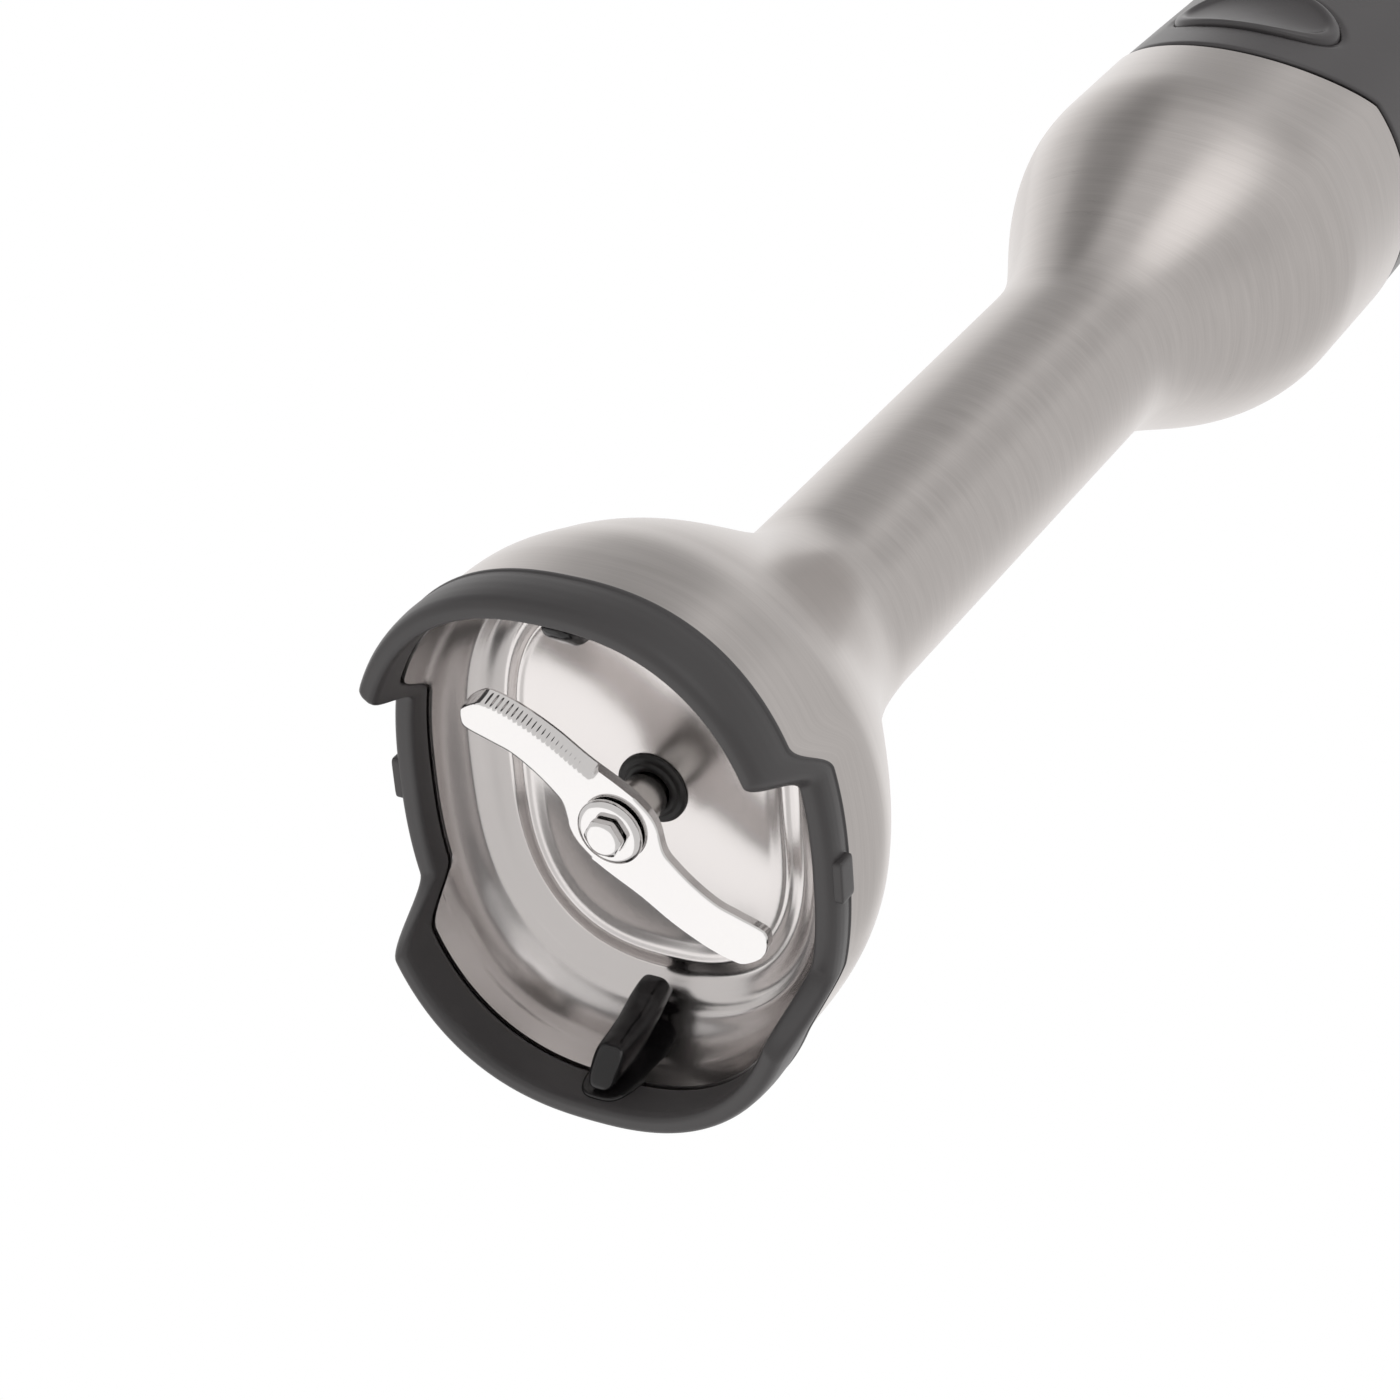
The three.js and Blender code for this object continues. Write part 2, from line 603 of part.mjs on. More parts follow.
// An oval cap cut from the handle's skin, with a dish for the thumb and a latch tongue behind it.
function releaseButton(side) {
  const { width } = handleSection(buttonHeight);
  const skin = (inset) => (u, v) => handlePoint(2 * Math.PI * u, mix(176, 204, v), inset);
  const cap = overlap(wall(skin(-buttonProud), skin(buttonWall), shellSides, 4), buttonOval(side, 18, 25, 0));
  const tongue = block(2.2, 5, 2.4, side * (width - buttonWall - 0.8), 0, grooveHeight);
  const dishRadius = 24;
  const dishReach = 1.0;
  const dish = new THREE.SphereGeometry(dishRadius, 20, 12).scale(1, 0.42, 0.27)
    .translate(side * (width + buttonProud + dishRadius - dishReach), 0, buttonHeight);
  return cut(join(cap, tongue), dish);
}

function coil(radius, wire, length, turns, sides = 6) {
  class Helix extends THREE.Curve {
    getPoint(t, target = new THREE.Vector3()) {
      const turn = 2 * Math.PI * turns * t;
      return target.set(radius * Math.cos(turn), radius * Math.sin(turn), length * t);
    }
  }
  const section = new THREE.Shape();
  section.absarc(0, 0, wire, 0, 2 * Math.PI);
  return facingOut(new THREE.ExtrudeGeometry(section,
    { steps: Math.round(turns * 8), extrudePath: new Helix(), curveSegments: sides / 2 }));
}

function handleShell(front) {
  const start = front ? Math.PI : 0;
  const seam = radians(0.4);
  const surface = (inset) => (u, v) => {
    const phi = start + mix(seam, Math.PI - seam, u);
    return handlePoint(phi, mix(collarSplit + restGap, shellTop, v), inset);
  };
  return wall(surface(0), surface(shellWall), 20, 9, false);
}

const triggerFace = (height) => handleSection(height).lean - handleSection(height).depth;

// Window in the front shell. The trigger's lower end swings down as it goes in, so it has room below.
function triggerWindow(grow, below = 0) {
  const low = triggerBottom - grow - below;
  const high = triggerTop + grow;
  const middle = (low + high) / 2;
  return block(triggerWidth + 2 * grow, 16, high - low, 0, triggerFace(middle) + 2, middle);
}

function trigger() {
  const surface = (inset) => (u, v) => {
    const height = mix(triggerBottom, triggerTop, v);
    const hollow = 1.4 * Math.sin(Math.PI * v) ** 2;
    const phi = -Math.PI / 2 + mix(-0.38, 0.38, u);
    return handlePoint(phi, height, inset + (inset < 0 ? hollow : 0));
  };
  const face = overlap(wall(surface(-1.6), surface(2.2), 6, 8, false), triggerWindow(0));
  const ear = (side) => block(2.2, 13, 8, side * (triggerWidth / 2 - 2), triggerFace(triggerPivotHeight) + 6.9, triggerPivotHeight);
  const pusher = block(3.4, 8.8, 5, 0, triggerFace(300) + 5.9, 298);
  const pinHole = rod(1.5 + 0.06, -12, 12, 20).rotateY(Math.PI / 2).translate(0, triggerPinDepth(), triggerPivotHeight);
  return cut(join(face, ear(1), ear(-1), pusher), pinHole);
}

const triggerPinDepth = () => triggerFace(triggerPivotHeight) + 9.8;
const triggerPin = () => rod(1.5, -12.4, 12.4, 20).rotateY(Math.PI / 2).translate(0, triggerPinDepth(), triggerPivotHeight);

// Two bosses that hold the ends of the trigger's pin, on one bar across the front.
function pinBracket() {
  const y = triggerPinDepth();
  const side = (k) => block(2.6, 5, 8, k * (triggerWidth / 2 + 2), y, triggerPivotHeight);
  const bar = block(triggerWidth + 6.6, 2, 6, 0, y + 5, triggerPivotHeight + 4);
  const link = (k) => block(2.6, 6, 4, k * (triggerWidth / 2 + 2), y + 3, triggerPivotHeight + 3.4);
  const hole = rod(1.5 + restGap, -20, 20, 20).rotateY(Math.PI / 2).translate(0, y, triggerPivotHeight);
  return cut(join(side(1), side(-1), bar, link(1), link(-1)), hole);
}

const boardFace = -3;
const circuitBoard = () => block(31, boardThickness, 64, 0, boardFace + boardThickness / 2, 328);
const microswitch = () => join(block(6, 7.6, 14, 0, boardFace - 0.3 - 3.8, 298), block(2.4, 1.6, 3, 0, boardFace - 0.3 - 7.6, 298));
const triggerSpring = () => coil(2.2, 0.35, 17.4, 8).rotateX(-Math.PI / 2).translate(0, -20.9, 309.5);
const potentiometer = () => block(17, 14, 8, 0, -dialForward, 376);

function topCap() {
  const surface = (inset) => (u, v) => handlePoint(2 * Math.PI * u, mix(shellTop + restGap, capTop - 1.4, v), inset);
  const rim = wall(surface(0), surface(shellWall), shellSides, 2);
  const roof = (z) => {
    const { width, depth, lean } = handleSection(z);
    const shape = new THREE.Shape();
    shape.absellipse(0, lean, width - 0.02, depth - 0.02, 0, 2 * Math.PI);
    return extruded(shape, 2.4, shellSides / 4).translate(0, 0, z - 2.4 + 0.6);
  };
  return cut(join(rim, roof(capTop - 2)), rod(5.4, 370, 400).translate(0, -dialForward, 0), glandHole());
}

function speedDial() {
  const grips = [];
  const gripCount = 18;
  for (let k = 0; k < gripCount; k++) {
    grips.push(rod(0.9, capTop, dialTop + 1, 6).translate(dialRadius + 0.3, 0, 0).rotateZ(k * 2 * Math.PI / gripCount));
  }
  const knob = turned([[0, capTop - 0.6], [dialRadius - 1, capTop - 0.6], [dialRadius, capTop + 0.4],
    [dialRadius, dialTop - 1.6], [dialRadius - 1.6, dialTop], [dialRadius - 5, dialTop], [dialRadius - 7, dialTop - 1.2],
    [0, dialTop - 1.2]], 36);
  const stem = rod(3, 380.6, capTop, 20);
  return cut(join(knob, stem), ...grips).translate(0, -dialForward, 0);
}

function gripInsert() {
  const span = radians(48);
  const surface = (inset) => (u, v) => handlePoint(-Math.PI / 2 + mix(-span, span, u), mix(216, 276, v), inset);
  return wall(surface(-1.3), surface(-restGap), 12, 5, false);
}

// Inlet that the cord enters by: flanged under the roof, with a short collar above it.
function cordGland() {
  const roofLow = capTop - 3.8;
  return turned([[3.5, roofLow - 3], [8, roofLow - 3], [8, roofLow - restGap], [6.4, roofLow - restGap],
    [6.4, capTop - 1.4 + restGap], [7.6, capTop - 1.4 + restGap], [7.6, capTop + 1.6], [6.8, capTop + 4.6],
    [3.5, capTop + 4.6]], 20).translate(0, glandBack, 0);
}

const glandHole = () => rod(6.4 + restGap, capTop - 12, capTop + 4, 20).translate(0, glandBack, 0);

const screwSpots = [[-13, 218.6], [13, 218.6], [-15, 366], [15, 366]];

function backAt(x, height) {
  const { width, depth, lean } = handleSection(height);
  return lean + depth * Math.sqrt(1 - (x / width) ** 2);
}

// Post that stands in the front shell and takes the end of a housing screw.
function post([x, z]) {
  const { width, depth, lean } = handleSection(z);
  const shape = new THREE.Shape();
  shape.absellipse(0, lean, width - 1, depth - 1, 0, 2 * Math.PI);
  const slice = extruded(shape, 8, 10).translate(0, 0, z - 4);
  return overlap(slice, rod(screwPost, -40, backAt(x, z) - 5.2, 12).rotateX(-Math.PI / 2).translate(x, 0, z));
}

function screwHole([x, z]) {
  return join(rod(2.6, -1.4, 8, 12), rod(1.3, -14, 0, 12)).rotateX(-Math.PI / 2).translate(x, backAt(x, z), z);
}

function housingScrew([x, z]) {
  const screw = turned([[0, -12], [1, -12], [1, -1.1], [2.2, -1.1], [2.2, -0.4], [1.8, 0], [0, 0]], 10);
  return cut(screw, block(3, 0.5, 0.8, 0, 0, 0), block(0.5, 3, 0.8, 0, 0, 0))
    .rotateX(-Math.PI / 2).translate(x, backAt(x, z), z);
}

// ---------------------------------------------------------------- assembly

const finish = {
  brushedSteel: { color: 0xb9b5b2, roughness: 0.38, metalness: 1 },
  polishedSteel: { color: 0xc9c5c2, roughness: 0.16, metalness: 1 },
  guardRubber: { color: 0x3b3a3b, roughness: 0.55, metalness: 0 },
  glossBlack: { color: 0x161515, roughness: 0.18, metalness: 0 },
  charcoal: { color: 0x434143, roughness: 0.42, metalness: 0 },
  softGrip: { color: 0x2d2c2d, roughness: 0.7, metalness: 0 },
  bronze: { color: 0x9a6b3a, roughness: 0.4, metalness: 1 },
  nylon: { color: 0xd8d4c8, roughness: 0.5, metalness: 0 },
  castIron: { color: 0x55585c, roughness: 0.6, metalness: 1 },
  copper: { color: 0xb87333, roughness: 0.35, metalness: 1 },
  magnetGrey: { color: 0x35363a, roughness: 0.7, metalness: 0 },
  boardGreen: { color: 0x1f5a36, roughness: 0.5, metalness: 0 },
};

const group = new THREE.Group();

function add(name, geometry, material) {
  const mesh = new THREE.Mesh(geometry, new THREE.MeshStandardMaterial(finish[material]));
  mesh.name = name;
  group.add(mesh);
}

add('shaft_housing', shaftHousing(), 'brushedSteel');
add('bell_liner', bellLiner(), 'polishedSteel');
add('rim_guard', rimGuard(), 'guardRubber');
add('rib_right', antiSuctionRib(1), 'glossBlack');
add('rib_left', antiSuctionRib(-1), 'glossBlack');
add('shaft_seal', shaftSeal(), 'glossBlack');
add('bearing_carrier', bearingCarrier(), 'nylon');
add('lower_bush', lowerBush(), 'bronze');
add('upper_bush', upperBush(), 'bronze');
add('shaft_collar', shaftCollar(), 'nylon');

add('blade', blade(), 'polishedSteel');
add('blade_washer', bladeWasher(), 'polishedSteel');
add('blade_nut', bladeNut(), 'polishedSteel');
add('blade_spacer', bladeSpacer(), 'polishedSteel');
add('drive_shaft', driveShaft(), 'polishedSteel');
add('thrust_ring', thrustRing(), 'bronze');
add('driven_coupling', drivenCoupling(), 'nylon');

add('drive_coupling', driveCoupling(), 'castIron');
add('motor_shaft', motorShaft(), 'polishedSteel');
add('armature_core', armatureCore(), 'castIron');
add('lower_winding', winding(motorBottom + 8.6, motorBottom + 12.7), 'copper');
add('upper_winding', winding(motorTop - 23.7, motorTop - 16), 'copper');
add('commutator', commutator(), 'copper');
add('cooling_fan', coolingFan(), 'charcoal');

add('motor_can', motorCan(), 'brushedSteel');
add('motor_end_plate', motorEndPlate(), 'brushedSteel');
add('magnet_front', magnet(-1), 'magnetGrey');
add('magnet_back', magnet(1), 'magnetGrey');
add('lower_bearing', bearing(motorBottom + 1), 'bronze');
add('upper_bearing', bearing(motorTop + 1.2), 'bronze');
add('bearing_bridge', bearingBridge(), 'brushedSteel');
add('brush_left', brush(-1), 'magnetGrey');
add('brush_right', brush(1), 'magnetGrey');
add('lower_mount_ring', mountRing(motorBottom + 3), 'guardRubber');
add('upper_mount_ring', mountRing(motorTop - 8), 'guardRubber');

add('handle_collar', handleCollar(), 'charcoal');
add('seam_ring', seamRing(), 'guardRubber');
add('shaft_socket', shaftSocket(), 'nylon');
add('front_shell', cut(join(handleShell(true), ...screwSpots.map(post)), triggerWindow(runGap, triggerSwing),
  ...screwSpots.map(screwHole)), 'charcoal');
add('back_shell', cut(handleShell(false), ...screwSpots.map(screwHole)), 'charcoal');
add('front_grip', gripInsert(), 'softGrip');
add('top_cap', topCap(), 'charcoal');
add('cord_gland', cordGland(), 'guardRubber');
screwSpots.forEach((spot, k) => add(`housing_screw_${k + 1}`, housingScrew(spot), 'polishedSteel'));

add('button_right', releaseButton(1), 'charcoal');
add('button_left', releaseButton(-1), 'charcoal');
add('trigger', trigger(), 'softGrip');
add('trigger_pin', triggerPin(), 'polishedSteel');
add('pin_bracket', pinBracket(), 'nylon');
add('trigger_spring', triggerSpring(), 'polishedSteel');
add('circuit_board', circuitBoard(), 'boardGreen');
add('microswitch', microswitch(), 'glossBlack');
add('potentiometer', potentiometer(), 'brushedSteel');
add('speed_dial', speedDial(), 'charcoal');

export default group;
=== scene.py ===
import math

import bmesh
import bpy
import numpy as np
from mathutils import Matrix, Vector


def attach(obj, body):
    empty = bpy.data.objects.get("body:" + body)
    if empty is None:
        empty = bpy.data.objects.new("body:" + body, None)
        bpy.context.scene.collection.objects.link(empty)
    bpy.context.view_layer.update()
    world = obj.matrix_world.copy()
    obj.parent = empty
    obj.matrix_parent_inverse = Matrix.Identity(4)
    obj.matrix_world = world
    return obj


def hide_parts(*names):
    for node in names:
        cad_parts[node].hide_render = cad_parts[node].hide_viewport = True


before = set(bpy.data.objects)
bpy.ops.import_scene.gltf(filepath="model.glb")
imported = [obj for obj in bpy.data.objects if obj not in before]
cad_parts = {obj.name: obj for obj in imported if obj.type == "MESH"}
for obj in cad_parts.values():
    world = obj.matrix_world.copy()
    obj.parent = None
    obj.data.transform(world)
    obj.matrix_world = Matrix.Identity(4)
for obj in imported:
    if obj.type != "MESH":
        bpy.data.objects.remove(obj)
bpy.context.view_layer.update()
print("frame loaded,", len(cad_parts), "nodes")

# Shapes are worked out in millimetres with the feet on the plane z = 0, and stored in metres.


def smoothStep(low, high, x):
    # 0 below low, 1 above high, and an S curve between them
    t = np.clip((x - low) / (high - low), 0, 1)
    return t * t * (3 - 2 * t)


def mix(a, b, t):
    return a + (b - a) * t


def hump(x, middle, halfWidth):
    # 1 at the middle, falling smoothly to 0 at halfWidth on either side
    return 1 - smoothStep(0, halfWidth, np.abs(x - middle))


def throughPoints(points, steps):
    # Catmull-Rom curve through the points, with the same number of steps between each pair
    p = np.asarray(points, float)
    p = np.vstack([2 * p[0] - p[1], p, 2 * p[-1] - p[-2]])
    t = (np.arange(steps) / steps)[None, :, None]
    a, b, c, d = (p[k:len(p) - 3 + k, None, :] for k in range(4))
    curve = 0.5 * (2 * b + (c - a) * t + (2 * a - 5 * b + 4 * c - d) * t ** 2
                   + (3 * b - a - 3 * c + d) * t ** 3)
    return np.vstack([curve.reshape(-1, p.shape[1]), p[-2]])


def roundedLoop(corners, radius=0.3, steps=4, closed=True):
    # each corner is replaced by a short curve that starts and ends at most radius away from it
    p = np.asarray(corners, float)
    before, after = np.roll(p, 1, 0), np.roll(p, -1, 0)
    out = []
    for k in range(len(p)):
        if not closed and k in (0, len(p) - 1):
            out.append(p[k:k + 1])
            continue
        back, ahead = before[k] - p[k], after[k] - p[k]
        lengthBack, lengthAhead = np.hypot(*back), np.hypot(*ahead)
        reach = min(radius, 0.45 * lengthBack, 0.45 * lengthAhead)
        start, end = p[k] + back / lengthBack * reach, p[k] + ahead / lengthAhead * reach
        t = np.linspace(0, 1, steps + 1)[:, None]
        out.append((1 - t) ** 2 * start + 2 * t * (1 - t) * p[k] + t ** 2 * end)
    return np.vstack(out)


# ------------ meshes

def gridFaces(points, wrapAcross, wrapAlong, first):
    # quads between neighbouring rows and columns; a corner's UV is its share of the way across
    # and its metres along the rows
    rows, cols = points.shape[:2]
    across = cols if wrapAcross else cols - 1
    along = rows if wrapAlong else rows - 1
    r, c = np.meshgrid(np.arange(along), np.arange(across), indexing="ij")
    nextR, nextC = (r + 1) % rows, (c + 1) % cols
    quads = np.stack([r * cols + c, r * cols + nextC, nextR * cols + nextC, nextR * cols + c], -1)
    quads = quads.reshape(-1, 4)
    step = np.linalg.norm(np.roll(points, -1, 0) - points, axis=2).mean(1) * 0.001
    length = np.concatenate([[0], np.cumsum(step)])
    u = np.stack([c, c + 1, c + 1, c], -1).reshape(-1, 4) / across
    v = length[np.stack([r, r, r + 1, r + 1], -1).reshape(-1, 4)]
    flat = points.reshape(-1, 3)
    p = flat[quads]
    volume = np.einsum("ij,ij->", p[:, 0], np.cross(p[:, 1], p[:, 2])) \
        + np.einsum("ij,ij->", p[:, 0], np.cross(p[:, 2], p[:, 3]))
    if volume < 0:
        quads, u, v = quads[:, ::-1], u[:, ::-1], v[:, ::-1]
    return flat, quads + first, np.stack([u, v], -1)


def makePiece(name, grids, body, material, replaced=(), sharpAngle=38, merge=True, keepFaces=None):
    # grids are (points, wrapAcross, wrapAlong); together they become one mesh
    allPoints, allQuads, allUv, first = [], [], [], 0
    for points, wrapAcross, wrapAlong in grids:
        flat, quads, uv = gridFaces(np.asarray(points, float), wrapAcross, wrapAlong, first)
        allPoints.append(flat)
        allQuads.append(quads)
        allUv.append(uv)
        first += len(flat)
    points, quads, uv = np.vstack(allPoints) * 0.001, np.vstack(allQuads), np.vstack(allUv)
    if keepFaces is not None:
        quads, uv = quads[keepFaces], uv[keepFaces]
    mesh = bpy.data.meshes.new(name)
    mesh.vertices.add(len(points))
    mesh.vertices.foreach_set("co", points.astype(np.float32).ravel())
    mesh.loops.add(quads.size)
    mesh.loops.foreach_set("vertex_index", quads.astype(np.int32).ravel())
    mesh.polygons.add(len(quads))
    mesh.polygons.foreach_set("loop_start", np.arange(0, quads.size, 4, dtype=np.int32))
    mesh.update(calc_edges=True)
    layer = mesh.uv_layers.new(name="along")
    layer.data.foreach_set("uv", uv.astype(np.float32).ravel())
    if merge:
        work = bmesh.new()
        work.from_mesh(mesh)
        bmesh.ops.remove_doubles(work, verts=work.verts, dist=2e-6)
        loose = [v for v in work.verts if not v.link_faces]
        bmesh.ops.delete(work, geom=loose, context="VERTS")
        work.to_mesh(mesh)
        work.free()
    mesh.polygons.foreach_set("use_smooth", np.ones(len(mesh.polygons), bool))
    mesh.set_sharp_from_angle(angle=math.radians(sharpAngle))
    piece = bpy.data.objects.new(name, mesh)
    bpy.context.scene.collection.objects.link(piece)
    mesh.materials.append(material)
    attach(piece, body)
    if replaced:
        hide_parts(*replaced)
    return piece


def turns(count):
    return np.linspace(0, 2 * math.pi, count, endpoint=False)


def latheGrid(profile, columns=96, centre=(0, 0), scallop=None):
    # the profile's [radius, height] points carried round a vertical line; scallop changes the radius
    profile = np.asarray(profile, float)
    phi = turns(columns)
    r = profile[:, :1] * np.ones(columns)
    z = profile[:, 1:] * np.ones(columns)
    if scallop is not None:
        r = scallop(r, z, phi[None, :])
    return np.stack([r * np.cos(phi) + centre[0], r * np.sin(phi) + centre[1], z], -1), True, True


def turnedGrid(corners, radius=0.3, columns=96, centre=(0, 0), scallop=None, steps=4):
    # a closed outline of [radius, height] corners, rounded and turned
    onAxis = abs(corners[0][0]) < 1e-9 and abs(corners[-1][0]) < 1e-9
    outline = roundedLoop(corners, radius, steps, closed=not onAxis)
    points, across, along = latheGrid(outline, columns, centre, scallop)
    return points, across, not onAxis


def blobGrid(sizes, centre, power=0.3, columns=40, rows=20):
    # a box with rounded edges: a sphere's sines and cosines raised to a power below 1
    a = turns(columns)[None, :]
    b = np.linspace(-math.pi / 2, math.pi / 2, rows)[:, None]
    lift = lambda x: np.sign(x) * np.abs(x) ** power
    x = lift(np.cos(b)) * lift(np.cos(a))
    y = lift(np.cos(b)) * lift(np.sin(a))
    z = lift(np.sin(b)) * np.ones_like(a)
    unit = np.stack([x, y, z], -1)
    return unit * np.asarray(sizes) / 2 + np.asarray(centre), True, False


# ------------ finishes

def newMaterial(name, colour, roughness, metallic=0.0, **extra):
    material = bpy.data.materials.new(name)
    material.use_nodes = True
    material.diffuse_color = (*colour, 1)
    nodes, links = material.node_tree.nodes, material.node_tree.links
    shader = nodes["Principled BSDF"]
    shader.inputs["Base Color"].default_value = (*colour, 1)
    shader.inputs["Roughness"].default_value = roughness
    shader.inputs["Metallic"].default_value = metallic
    for socket, value in extra.items():
        shader.inputs[socket].default_value = value
    return material, nodes, links, shader


def addNode(nodes, kind, settings=None, **inputs):
    node = nodes.new(kind)
    for key, value in (settings or {}).items():
        setattr(node, key, value)
    for key, value in inputs.items():
        node.inputs[key].default_value = value
    return node


def mathNode(nodes, links, operation, a, b=None, clamp=False):
    node = addNode(nodes, "ShaderNodeMath", {"operation": operation, "use_clamp": clamp})
    for k, value in enumerate((a, b)):
        if value is None:
            continue
        if isinstance(value, (int, float)):
            node.inputs[k].default_value = value
        else:
            links.new(value, node.inputs[k])
    return node.outputs[0]


def rampNode(nodes, links, source, low, high):
    # source from 0 to 1 becomes a value or colour from low to high
    node = addNode(nodes, "ShaderNodeMapRange", {"clamp": True})
    node.inputs["To Min"].default_value = low
    node.inputs["To Max"].default_value = high
    links.new(source, node.inputs["Value"])
    return node.outputs["Result"]


def colourMix(nodes, links, factor, first, second):
    node = addNode(nodes, "ShaderNodeMix", {"data_type": "RGBA"})
    node.inputs[6].default_value = (*first, 1)
    node.inputs[7].default_value = (*second, 1)
    links.new(factor, node.inputs[0])
    return node.outputs[2]


def noiseOn(nodes, links, vector, scale, detail=3.0, roughness=0.5):
    node = addNode(nodes, "ShaderNodeTexNoise", Scale=scale, Detail=detail, Roughness=roughness)
    links.new(vector, node.inputs["Vector"])
    return node.outputs["Fac"]


def objectVector(nodes):
    return nodes.new("ShaderNodeTexCoord").outputs["Object"]


def roundVector(nodes, links, aroundScale, alongScale):
    # a pattern that runs round the piece: the turn becomes a circle, so there is no join
    uv = nodes.new("ShaderNodeUVMap")
    uv.uv_map = "along"
    split = nodes.new("ShaderNodeSeparateXYZ")
    links.new(uv.outputs[0], split.inputs[0])
    turn = mathNode(nodes, links, "MULTIPLY", split.outputs[0], 2 * math.pi)
    join = nodes.new("ShaderNodeCombineXYZ")
    for socket, wave in zip(join.inputs, ("COSINE", "SINE")):
        way = mathNode(nodes, links, wave, turn)
        links.new(mathNode(nodes, links, "MULTIPLY", way, aroundScale), socket)
    links.new(mathNode(nodes, links, "MULTIPLY", split.outputs[1], alongScale), join.inputs[2])
    return join.outputs[0]


def bumpOn(nodes, links, shader, height, strength, distance):
    node = addNode(nodes, "ShaderNodeBump", Strength=strength, Distance=distance)
    links.new(height, node.inputs["Height"])
    links.new(node.outputs[0], shader.inputs["Normal"])


brushing = dict(colour=(0.66, 0.625, 0.605), darkColour=(0.47, 0.443, 0.428), roughness=(0.22, 0.38),
                hairsAlong=4200.0, hairsAround=2.2, anisotropy=0.55, hairDepth=0.000012)


def brushedSteelFinish():
    material, nodes, links, shader = newMaterial(
        "brushedSteel", brushing["colour"], 0.3, 1.0, **{"Anisotropic": brushing["anisotropy"],
                                                        "Anisotropic Rotation": 0.25})
    hairVector = roundVector(nodes, links, brushing["hairsAround"], brushing["hairsAlong"])
    hairs = noiseOn(nodes, links, hairVector, 1.0, 3)
    streaks = noiseOn(nodes, links, roundVector(nodes, links, 1.2, 900.0), 1.0, 2)
    cloud = noiseOn(nodes, links, objectVector(nodes), 60.0, 4)
    blend = mathNode(nodes, links, "ADD", mathNode(nodes, links, "MULTIPLY", hairs, 0.55),
                     mathNode(nodes, links, "MULTIPLY", streaks, 0.45))
    tint = colourMix(nodes, links, blend, brushing["darkColour"], brushing["colour"])
    links.new(tint, shader.inputs["Base Color"])
    rough = mathNode(nodes, links, "ADD", mathNode(nodes, links, "MULTIPLY", blend, 0.7),
                     mathNode(nodes, links, "MULTIPLY", cloud, 0.3))
    links.new(rampNode(nodes, links, rough, *brushing["roughness"]), shader.inputs["Roughness"])
    tangent = addNode(nodes, "ShaderNodeTangent", {"direction_type": "UV_MAP"})
    tangent.uv_map = "along"
    links.new(tangent.outputs[0], shader.inputs["Tangent"])
    bumpOn(nodes, links, shader, hairs, 0.25, brushing["hairDepth"])
    return material


def satinSteelFinish(name, colour, roughLow, roughHigh, smudge=0.5):
    # pressed or ground steel: faint clouding, a few fine marks and a slightly uneven surface
    material, nodes, links, shader = newMaterial(name, colour, roughLow, 1.0)
    vector = objectVector(nodes)
    cloud = noiseOn(nodes, links, vector, 90.0, 5, 0.6)
    grain = noiseOn(nodes, links, vector, 4200.0, 2)
    both = mathNode(nodes, links, "ADD", mathNode(nodes, links, "MULTIPLY", cloud, smudge),
                    mathNode(nodes, links, "MULTIPLY", grain, 1 - smudge))
    links.new(rampNode(nodes, links, both, roughLow, roughHigh), shader.inputs["Roughness"])
    dim = tuple(0.9 * c for c in colour)
    links.new(colourMix(nodes, links, both, dim, colour), shader.inputs["Base Color"])
    bumpOn(nodes, links, shader, cloud, 0.12, 0.0002)
    return material


def mouldedFinish(name, colour, roughness, grain=2600.0, depth=0.00002, sheen=0.0, spread=0.07, coat=0.0):
    # moulded plastic or rubber: a fine spark-eroded grain, cloudy gloss and a slight tint drift
    material, nodes, links, shader = newMaterial(name, colour, roughness, 0.0, **{
        "Sheen Weight": sheen, "Coat Weight": coat, "Coat Roughness": 0.12, "Specular IOR Level": 0.5})
    vector = objectVector(nodes)
    fine = noiseOn(nodes, links, vector, grain, 2)
    cloud = noiseOn(nodes, links, vector, 70.0, 4, 0.6)
    gloss = rampNode(nodes, links, cloud, roughness - spread, roughness + spread)
    links.new(gloss, shader.inputs["Roughness"])
    light = tuple(min(1.0, 1.18 * c) for c in colour)
    dark = tuple(0.84 * c for c in colour)
    links.new(colourMix(nodes, links, cloud, dark, light), shader.inputs["Base Color"])
    bumpOn(nodes, links, shader, fine, 0.35, depth)
    return material


brushedSteel = brushedSteelFinish()
linerSteel = satinSteelFinish("linerSteel", (0.74, 0.71, 0.70), 0.15, 0.27)
bladeSteel = satinSteelFinish("bladeSteel", (0.80, 0.785, 0.78), 0.07, 0.14)
shaftSteel = satinSteelFinish("shaftSteel", (0.62, 0.60, 0.58), 0.18, 0.30)
innerSteel = satinSteelFinish("innerSteel", (0.55, 0.54, 0.53), 0.28, 0.42)
guardPlastic = mouldedFinish("guardPlastic", (0.050, 0.047, 0.048), 0.42, depth=0.00002)
charcoalPlastic = mouldedFinish("charcoalPlastic", (0.062, 0.058, 0.060), 0.36)
buttonPlastic = mouldedFinish("buttonPlastic", (0.066, 0.062, 0.064), 0.30)
softTouch = mouldedFinish("softTouch", (0.030, 0.029, 0.030), 0.62, grain=1800.0, depth=0.00005, sheen=0.1)
glossBlack = mouldedFinish("glossBlack", (0.010, 0.0095, 0.010), 0.16, depth=0.000004, spread=0.04)
sealRubber = mouldedFinish("sealRubber", (0.014, 0.013, 0.013), 0.45)
nylon = mouldedFinish("nylon", (0.60, 0.58, 0.52), 0.42)
board = mouldedFinish("board", (0.015, 0.11, 0.045), 0.30)
ferrite = mouldedFinish("ferrite", (0.045, 0.045, 0.05), 0.62)
bronze = satinSteelFinish("bronze", (0.52, 0.33, 0.15), 0.32, 0.48)
copper = satinSteelFinish("copper", (0.70, 0.30, 0.15), 0.22, 0.38)
